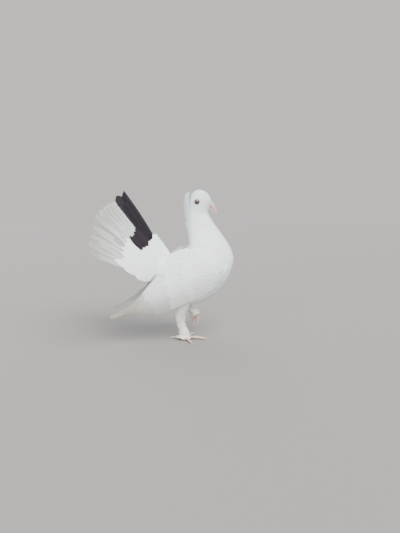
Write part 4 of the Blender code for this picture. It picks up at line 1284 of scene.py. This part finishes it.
# Standing toes: heading in degrees, length, radius
TOES_RIGHT = [(172, 21, 2.2), (54, 29, 2.4), (-6, 38, 2.7), (-62, 30, 2.4)]
TOE_SINK = 0.35
TOE_ARCH = 1.2
TOE_TIPS_LEFT = [(11.5, 14, 35), (15, 26, 28), (20.5, 17, 23), (27, 11, 29)]
TOE_RADII_LEFT = [2.0, 2.2, 2.5, 2.2]
TOE_CURL = 3.5
# Swellings along a toe: share of its length and of its radius
TOE_SWELLINGS = [(0, 1.25), (0.3, 1.0), (0.42, 0.86), (0.62, 1.04), (0.78, 0.80)]
TOE_SWELLINGS += [(0.93, 0.9), (1.0, 0.62), (1.03, 0.2)]
TOE_TIP = (0.55, 0.38, 0.12)
TOE_POINTS = 20
SCUTE_PITCH = 1.7
SCUTE_RISE = 0.28
PAD_PITCH = 2.6
PAD_DROP = 0.3
# The sole and the claws of the standing foot lie this far over the floor
SOLE_CLEAR = 0.05


def toe_sides(heading):
    """Directions across a toe and up from it."""
    across = unit(np.cross(heading, (0.1, 0.05, 1)))
    return across, np.cross(across, heading)


def toe_rings(start, end, radius, bow):
    """Rings of one toe: pads beneath its joints, and scutes stepping over one another on top."""
    start, end, bow = (np.array(v, float) for v in (start, end, bow))
    length = np.linalg.norm(end - start)
    f = np.linspace(0, 1.03, 100)
    centre = start + (end - start) * f[:, None] + bow * (4 * f * (1 - f))[:, None]
    across, lift = toe_sides((end - start) / length)
    swell = np.interp(f, *np.array(TOE_SWELLINGS).T)
    swell = np.convolve(np.pad(swell, 3, mode="edge"), np.full(7, 1 / 7), "valid")
    swell[-len(TOE_TIP):] = TOE_TIP
    turn = angles(TOE_POINTS)
    upper = np.clip(np.sin(turn), 0, 1) ** 0.6
    lower = np.clip(-np.sin(turn), 0, 1)
    step = (f * length / SCUTE_PITCH) % 1
    scute = SCUTE_RISE * (1 - step) ** 1.5 * ramp(f, 1, 0.95) * ramp(f, 0, 0.1)
    bumps = 0.25 * np.sin(f * length * FULL_TURN / PAD_PITCH) * (swell > 0.7)
    out = radius * swell[:, None] + scute[:, None] * upper + bumps[:, None] * lower * PAD_DROP
    ring = across * np.cos(turn)[:, None] + lift * np.sin(turn)[:, None]
    return centre[:, None] + out[..., None] * ring[None]


def ball(rises, points):
    """A ball of radius 1 as rings, each at its rise in degrees over the middle."""
    rise, turn = crossed(np.radians(rises), angles(points))
    return np.stack((np.cos(rise) * np.cos(turn), np.cos(rise) * np.sin(turn), np.sin(rise)), axis=-1)


def face_outward(piece, weld=False):
    """Turns every face of a closed piece outward, after joining points that fall together."""
    work = bmesh.new()
    work.from_mesh(piece.data)
    if weld:
        bmesh.ops.remove_doubles(work, verts=work.verts, dist=1e-6)
    bmesh.ops.recalc_face_normals(work, faces=work.faces)
    work.to_mesh(piece.data)
    work.free()


def foot_piece(side, parts):
    """Toes and ball as one piece; where the foot stands, its underside is flattened on the floor."""
    pieces = []
    for k, rings in enumerate(parts):
        if side == RIGHT:
            low = rings[..., 2] < SOLE_CLEAR
            pressed = SOLE_CLEAR + 0.02 * (rings[..., 2] - SOLE_CLEAR)
            rings[..., 2] = np.where(low, pressed, rings[..., 2])
        made = rings_piece("foot_part_%d" % k, rings)
        down, across = crossed(np.linspace(0, 1, len(rings)), np.linspace(0, 1, TOE_POINTS))
        corner_map(made, "OFBake", pair((k + 0.05 + 0.9 * across) / len(parts), down))
        pieces.append(made)
    with bpy.context.temp_override(active_object=pieces[0], selected_editable_objects=pieces):
        bpy.ops.object.join()
    pieces[0].name = "foot_skin_" + SIDE_NAMES[side]
    face_outward(pieces[0])
    return pieces[0]


fx, fy, _ = FOOT_RIGHT
foot_ball = ball(np.linspace(-80, 80, 13), TOE_POINTS) * BALL_RADII
standing, standing_ends = [foot_ball + FOOT_RIGHT], []
for heading, length, radius in TOES_RIGHT:
    turn = math.radians(heading)
    way = np.array((math.cos(turn), math.sin(turn), 0))
    height = radius - TOE_SINK
    end = np.array((fx, fy, height)) + way * length
    standing.append(toe_rings((fx, fy, height + 0.6), end, radius, (0, 0, TOE_ARCH)))
    standing_ends.append((end, way, radius))
raised, raised_ends = [foot_ball + FOOT_LEFT], []
for n, (tip, radius) in enumerate(zip(TOE_TIPS_LEFT, TOE_RADII_LEFT)):
    way = unit(np.array(tip) - np.array(FOOT_LEFT))
    raised.append(toe_rings(FOOT_LEFT, tip, radius, (TOE_CURL if n else 0, 0, 0)))
    raised_ends.append((np.array(tip, float), way, radius))

# Toe skin: pink and a little dry, yellower in patches, with fine dark cracks
toe_material, tree, shader = plain_material("toe_skin", 0.6)
place = node(tree, "TexCoord")
cells = node(tree, "TexVoronoi", feature="DISTANCE_TO_EDGE", in_Scale=1500.0)
tree.links.new(place.outputs["Object"], cells.inputs["Vector"])
crack = node(tree, "MapRange")
crack.inputs["From Max"].default_value = 0.07
tree.links.new(cells.outputs["Distance"], crack.inputs["Value"])
pink = mixed(tree, grain(tree, 160.0, 4.0), (0.50, 0.33, 0.30, 1), (0.62, 0.50, 0.43, 1))
dirty = mixed(tree, crack.outputs[0], (0.40, 0.26, 0.22, 1), pink)
tree.links.new(dirty, shader.inputs["Base Color"])
roughen(tree, shader, crack.outputs[0], 0.5, 0.15)
shader.inputs["Subsurface Weight"].default_value = 0.08
shader.inputs["Subsurface Radius"].default_value = (0.002, 0.0008, 0.0005)
shader.inputs["Subsurface Scale"].default_value = 1.0

for side, parts in ((RIGHT, standing), (LEFT, raised)):
    dress(foot_piece(side, parts), toe_material, "foot_" + SIDE_NAMES[side], slot="toe_skin")


# Claws
# Each toe ends in a short curved claw of horn, rounded above and grooved beneath, darker and
# more worn towards its point.
CLAW_LENGTH = 7.5
CLAW_RADIUS = 1.5
CLAW_TIP = 0.12
CLAW_POINTS = 16
CLAW_DROOP_LEFT = (-1.2, 0, -0.6)


def ring_map(piece, rows, count):
    """The unwrap of a piece made of rings; gives how near each point is to the last ring."""
    down, across = crossed(np.linspace(0, 1, rows), np.linspace(0, 1, count))
    corner_map(piece, "OFBake", pair(across, down))
    return down


def claw_piece(name, start, heading, droop, standing):
    """A claw as rings from inside the toe to the point."""
    start, heading, droop = (np.array(v, float) for v in (start, heading, droop))
    across, lift = toe_sides(heading)
    turn = angles(CLAW_POINTS)
    groove = 1 - 0.3 * np.exp(-((turn - 1.5 * math.pi) / 0.5) ** 2)
    f = each(np.linspace(-0.12, 1, 22))
    radius = CLAW_RADIUS * (1 - 0.88 * np.maximum(f, 0) ** 1.3) * np.where(f < -0.05, 0.8, 1)
    ring = across * 0.72 * np.cos(turn)[:, None] + lift * (np.sin(turn) * groove)[:, None]
    rings = start + heading * CLAW_LENGTH * f + droop * f * np.abs(f) + radius * ring
    if standing:
        rings[..., 2] = np.maximum(rings[..., 2], SOLE_CLEAR)
    piece = rings_piece(name, rings)
    point_values(piece, "worn", ring_map(piece, len(rings), CLAW_POINTS))
    return piece


def speckled(name, roughness, speckles, relief, colour, fleck, amount=1.0, worn=None):
    """Skin or horn with fine flecks of a second colour, which also make its relief."""
    material, tree, shader = plain_material(name, roughness)
    flecks = grain(tree, *speckles)
    if worn:
        colour = mixed(tree, value_of(tree, "worn"), colour, worn)
    colour = mixed(tree, sums(tree, "MULTIPLY", flecks, amount), colour, fleck)
    tree.links.new(colour, shader.inputs["Base Color"])
    roughen(tree, shader, flecks, *relief)
    return material


CLAW_HORN = (0.58, 0.44, 0.38, 1)
CLAW_FLECK = (0.66, 0.56, 0.48, 1)
CLAW_WORN = (0.30, 0.22, 0.19, 1)
claw_material = speckled("claw_horn", 0.38, (700.0, 3.0), (0.3, 0.1), CLAW_HORN, CLAW_FLECK, 0.5, CLAW_WORN)
for side, ends in ((RIGHT, standing_ends), (LEFT, raised_ends)):
    for n, (end, way, radius) in enumerate(ends, 1):
        droop = (0, 0, CLAW_TIP - radius + TOE_SINK) if side == RIGHT else CLAW_DROOP_LEFT
        name = "claw_%s_%d" % (SIDE_NAMES[side], n)
        dress(claw_piece(name + "_horn", end, way, droop, side == RIGHT), claw_material, name, slot="claw")


# Bill
# Two short pink mandibles parted along the mouth line, the upper one hooked at the tip. Two pale,
# powdery swellings of the cere sit over the slits of the nostrils.
# Rows: ridge x, z, mouth line x, z, chin x, z, half width
BILL = [
    (45.0, 260.8, 42.0, 253.0, 40.0, 247.6, 4.6),
    (47.5, 260.5, 44.5, 251.5, 42.5, 246.5, 4.6),
    (53.8, 259.0, 50.5, 249.0, 48.0, 244.5, 4.1),
    (58.0, 252.5, 54.8, 246.0, 53.0, 242.6, 3.1),
    (61.0, 246.8, 58.6, 242.6, 57.0, 240.0, 2.2),
    (63.2, 241.6, 61.2, 239.6, 60.2, 238.4, 1.3),
]
BILL_HOOK = np.array((63.4, 237.4))
HOOK_BLUNT = 0.06
CERE = (53.6, 2.1, 256.0)
CERE_RADII = (2.0, 1.9, 4.6)
CERE_RINGS = 18
CERE_POINTS = 24
CERE_TILT = math.radians(58)
# Where the nostril's slit is, x and z
NOSTRIL = (56.4, 252.9)
MOUTH_GAP = 0.25
BILL_POINTS = 28


def bill_half(name, upper):
    """One mandible as rings from the root to a rounded end, hooked on the upper one."""
    t = np.linspace(0, len(BILL) - 1, 44)
    rx, rz, mx, mz, cx, cz, wide = np.moveaxis(along(BILL, t), -1, 0)
    ridge, mouth_line, chin = pair(rx, rz), pair(mx, mz), pair(cx, cz)
    apart = unit(chin - ridge) * MOUTH_GAP / 2
    if upper:
        high, low = ridge, mouth_line - apart
        ends, thins, roundness = (0.4, 0.7, 0.9, 1.0), 0.7, 0.85
    else:
        high, low, wide = mouth_line + apart, chin, wide * 0.9
        ends, thins, roundness = (0.5, 0.85, 1.0), 0.6, 0.8
    f = np.array(ends)[:, None]
    centre = (high[-1] + low[-1]) / 2
    reach = BILL_HOOK - centre if upper else (high[-1] - high[-2]) * 1.2
    span = (high[-1] - low[-1]) / 2 * (1 - f) ** thins + (HOOK_BLUNT if upper else 0)
    high = np.vstack((high, centre + reach * f + span))
    low = np.vstack((low, centre + reach * f - span))
    wide = np.concatenate((wide, wide[-1] * np.maximum(1 - f[:, 0], 0.06) ** 0.6))
    turn = angles(BILL_POINTS)
    middle, half = (high + low) / 2, (high - low) / 2
    cos, sin = np.cos(turn), np.sin(turn)
    squared = np.sign(cos) * np.abs(cos) ** roundness
    side = middle[:, None] + half[:, None] * squared[None, :, None]
    y = wide[:, None] * np.sign(sin) * np.abs(sin) ** 0.9
    rings = np.stack((side[..., 0], y, side[..., 1]), axis=-1)
    if upper:
        near = np.hypot(rings[..., 0] - NOSTRIL[0], (rings[..., 2] - NOSTRIL[1]) * 2.2)
        dent = 0.75 * np.exp(-((near / 1.5) ** 2)) * (np.abs(rings[..., 1]) > 1.5)
        rings[..., 1] -= np.sign(rings[..., 1]) * dent
    piece = rings_piece(name, rings[:, ::-1])
    point_values(piece, "worn", ring_map(piece, len(rings), BILL_POINTS))
    return piece


def cere_piece(side):
    """One of the two swellings at the root of the upper bill."""
    shape = ball(np.linspace(-84, 84, CERE_RINGS), CERE_POINTS)
    swell = 1 + 0.06 * np.sin(5 * angles(CERE_POINTS) + 3 * shape[..., 2])
    x, y, z = np.moveaxis(shape * CERE_RADII, -1, 0)
    sin, cos = math.sin(CERE_TILT), math.cos(CERE_TILT)
    tilted = (x * swell * sin + z * cos, y * swell, x * swell * cos - z * sin)
    rings = np.stack(tilted, axis=-1) + (CERE[0], side * CERE[1], CERE[2])
    piece = rings_piece("cere_" + SIDE_NAMES[side], rings)
    ring_map(piece, CERE_RINGS, CERE_POINTS)
    face_outward(piece)
    return piece


BILL_HORN = (0.56, 0.33, 0.34, 1)
BILL_FLECK = (0.46, 0.26, 0.28, 1)
BILL_TIP = (0.62, 0.47, 0.44, 1)
CERE_POWDER = (0.86, 0.80, 0.78, 1)
CERE_FLECK = (0.78, 0.66, 0.64, 1)
bill_material = speckled("bill_horn", 0.42, (420.0, 4.0), (0.25, 0.1), BILL_HORN, BILL_FLECK, 0.35, BILL_TIP)
cere_material = speckled("cere", 0.85, (900.0, 5.0), (0.5, 0.15), CERE_POWDER, CERE_FLECK)

dress(bill_half("upper_mandible", True), bill_material, "bill_upper", slot="bill")
dress(bill_half("lower_mandible", False), bill_material, "bill_lower", slot="bill")
for side in (LEFT, RIGHT):
    dress(cere_piece(side), cere_material, slot="bill")


# Eyes
# A dark, wet eyeball with a deep brown-red iris round a black pupil stands in each side of the
# head, inside a ring of bare, finely wrinkled lid.
EYE_RADIUS = 5.5
EYE_POINTS = 48
LID_RADIUS = 4.4
LID_TUBE = 0.62
LID_OUT = 3.5
LID_SINKS = 4.5
LID_RINGS = 97
LID_POINTS = 14
PUPIL_TURN = 26
IRIS_TURN = 52
# The ball ends under the lid's inner edge, this many degrees from its middle
BALL_TURN = 56
BALL_RINGS = 40


def eye_piece(side):
    """The front of an eyeball, as rings from its middle to under the lid."""
    from_pole = np.linspace(0.8, BALL_TURN, BALL_RINGS)
    bulge = each(EYE_RADIUS * (1 + 0.035 * np.exp(-((from_pole / 34) ** 2))))
    rings = ball(90 - from_pole, EYE_POINTS)[..., (0, 2, 1)] * bulge + EYE
    rings[..., 1] *= side
    piece = rings_piece("eyeball_" + SIDE_NAMES[side], rings if side == RIGHT else rings[:, ::-1])
    ring_map(piece, BALL_RINGS, EYE_POINTS)
    point_values(piece, "from_pole", np.repeat(from_pole, EYE_POINTS) / 180)
    return piece


def lid_piece(side):
    """A ring of wrinkled lid, a little longer than high and pinched at its corners."""
    # The last ring lies on the first one, and both are joined at the end
    a, b = crossed([*angles(LID_RINGS - 1), 0], angles(LID_POINTS))
    tube = LID_TUBE * (1 + 0.05 * np.sin(11 * a) + 0.05 * np.sin(23 * a + 1))
    reach = LID_RADIUS * (1 + 0.05 * np.cos(2 * a)) + tube * 1.15 * np.cos(b)
    out = tube * np.sin(b) * np.where(np.sin(b) > 0, 0.8, LID_SINKS)
    x, y, z = EYE[0] + reach * np.cos(a), EYE[1] + LID_OUT + out, EYE[2] + reach * np.sin(a)
    piece = rings_piece("lid_" + SIDE_NAMES[side], np.stack((x, side * y, z), axis=-1), sealed=False)
    unrolled = crossed(np.linspace(0, 1, LID_RINGS), np.linspace(0, 1, LID_POINTS))
    corner_map(piece, "OFBake", pair(*unrolled))
    face_outward(piece, weld=True)
    return piece


def soft_edge(tree, turn, width):
    """0 inside a turn from the pole of the eye and 1 outside it, as a socket."""
    edge = node(tree, "MapRange", interpolation_type="SMOOTHSTEP")
    edge.inputs["From Min"].default_value = (turn - width) / 180
    edge.inputs["From Max"].default_value = (turn + width) / 180
    tree.links.new(value_of(tree, "from_pole"), edge.inputs["Value"])
    return edge.outputs[0]


eye_material, tree, shader = plain_material("eyeball", 0.06)
iris = mixed(tree, grain(tree, 1400.0), (0.030, 0.012, 0.012, 1), (0.075, 0.030, 0.026, 1))
iris = mixed(tree, soft_edge(tree, PUPIL_TURN, 2), (0.004, 0.003, 0.004, 1), iris)
iris = mixed(tree, soft_edge(tree, IRIS_TURN, 4), iris, (0.012, 0.008, 0.010, 1))
tree.links.new(iris, shader.inputs["Base Color"])
shader.inputs["Coat Weight"].default_value = 1.0
shader.inputs["Coat Roughness"].default_value = 0.02

LID_SKIN = (0.20, 0.13, 0.17, 1)
LID_FLECK = (0.40, 0.29, 0.34, 1)
lid_material = speckled("eyelid", 0.6, (1100.0, 3.0), (0.5, 0.12), LID_SKIN, LID_FLECK)

for side in (LEFT, RIGHT):
    dress(eye_piece(side), eye_material, "eye_" + SIDE_NAMES[side], slot="eye")
    dress(lid_piece(side), lid_material, slot="eye")


# Floor, light and camera
# A wide pale floor under soft studio light, and the camera where the photo was taken from.
FLOOR_HALF = 4000
CAMERA_PLACE = (0.0324, -0.735, 0.261)
CAMERA_DOWN = math.radians(9.4)
PHOTO_WIDE, PHOTO_HIGH = 400, 533
FILM = 36
floor_corners = FLOOR_HALF * np.array([(-1, -1, 0), (1, -1, 0), (1, 1, 0), (-1, 1, 0)])
floor = mesh_piece("floor", floor_corners, [np.array([[0, 1, 2, 3]])])
floor_material, tree, shader = plain_material("pale_floor", 0.85)
shader.inputs["Base Color"].default_value = (0.225, 0.2145, 0.2075, 1)
floor.data.materials.append(floor_material)

# The sky lights the bird evenly; behind it shows a plain grey that meets the floor softly
world = bpy.data.worlds.new("studio")
world.use_nodes = True
tree = world.node_tree
sky = tree.nodes["Background"]
sky.inputs["Color"].default_value = (0.95, 0.97, 1.0, 1)
sky.inputs["Strength"].default_value = 1.05
backdrop = tree.nodes.new("ShaderNodeBackground")
backdrop.inputs["Color"].default_value = (0.75, 0.725, 0.71, 1)
seen = tree.nodes.new("ShaderNodeLightPath")
choice = tree.nodes.new("ShaderNodeMixShader")
tree.links.new(seen.outputs["Is Camera Ray"], choice.inputs[0])
tree.links.new(sky.outputs[0], choice.inputs[1])
tree.links.new(backdrop.outputs[0], choice.inputs[2])
tree.links.new(choice.outputs[0], tree.nodes["World Output"].inputs["Surface"])
bpy.context.scene.world = world


def soft_light(name, toward, strength, spread, colour):
    """A broad far studio light that shines along a direction."""
    lamp = bpy.data.lights.new(name, "SUN")
    lamp.energy = strength
    lamp.angle = math.radians(spread)
    lamp.color = colour
    made = bpy.data.objects.new(name, lamp)
    made.rotation_euler = Vector(toward).to_track_quat("-Z", "Y").to_euler()
    bpy.context.scene.collection.objects.link(made)


soft_light("key_light", (-0.4, 0.6, -0.9), 5.8, 45, (1.0, 0.99, 0.97))
soft_light("fill_light", (0.45, 0.9, -0.05), 3.0, 60, (1.0, 0.99, 0.98))
soft_light("back_light", (0.5, -0.9, -0.9), 1.4, 60, (0.97, 0.98, 1.0))

lens = bpy.data.cameras.new("camera")
lens.sensor_width = FILM
lens.lens = FILM * PHOTO_WIDE / PHOTO_HIGH
lens.clip_start, lens.clip_end = 0.01, 50
camera = bpy.data.objects.new("camera", lens)
camera.location = CAMERA_PLACE
camera.rotation_euler = (math.pi / 2 - CAMERA_DOWN, 0, 0)
bpy.context.scene.collection.objects.link(camera)
bpy.context.scene.camera = camera
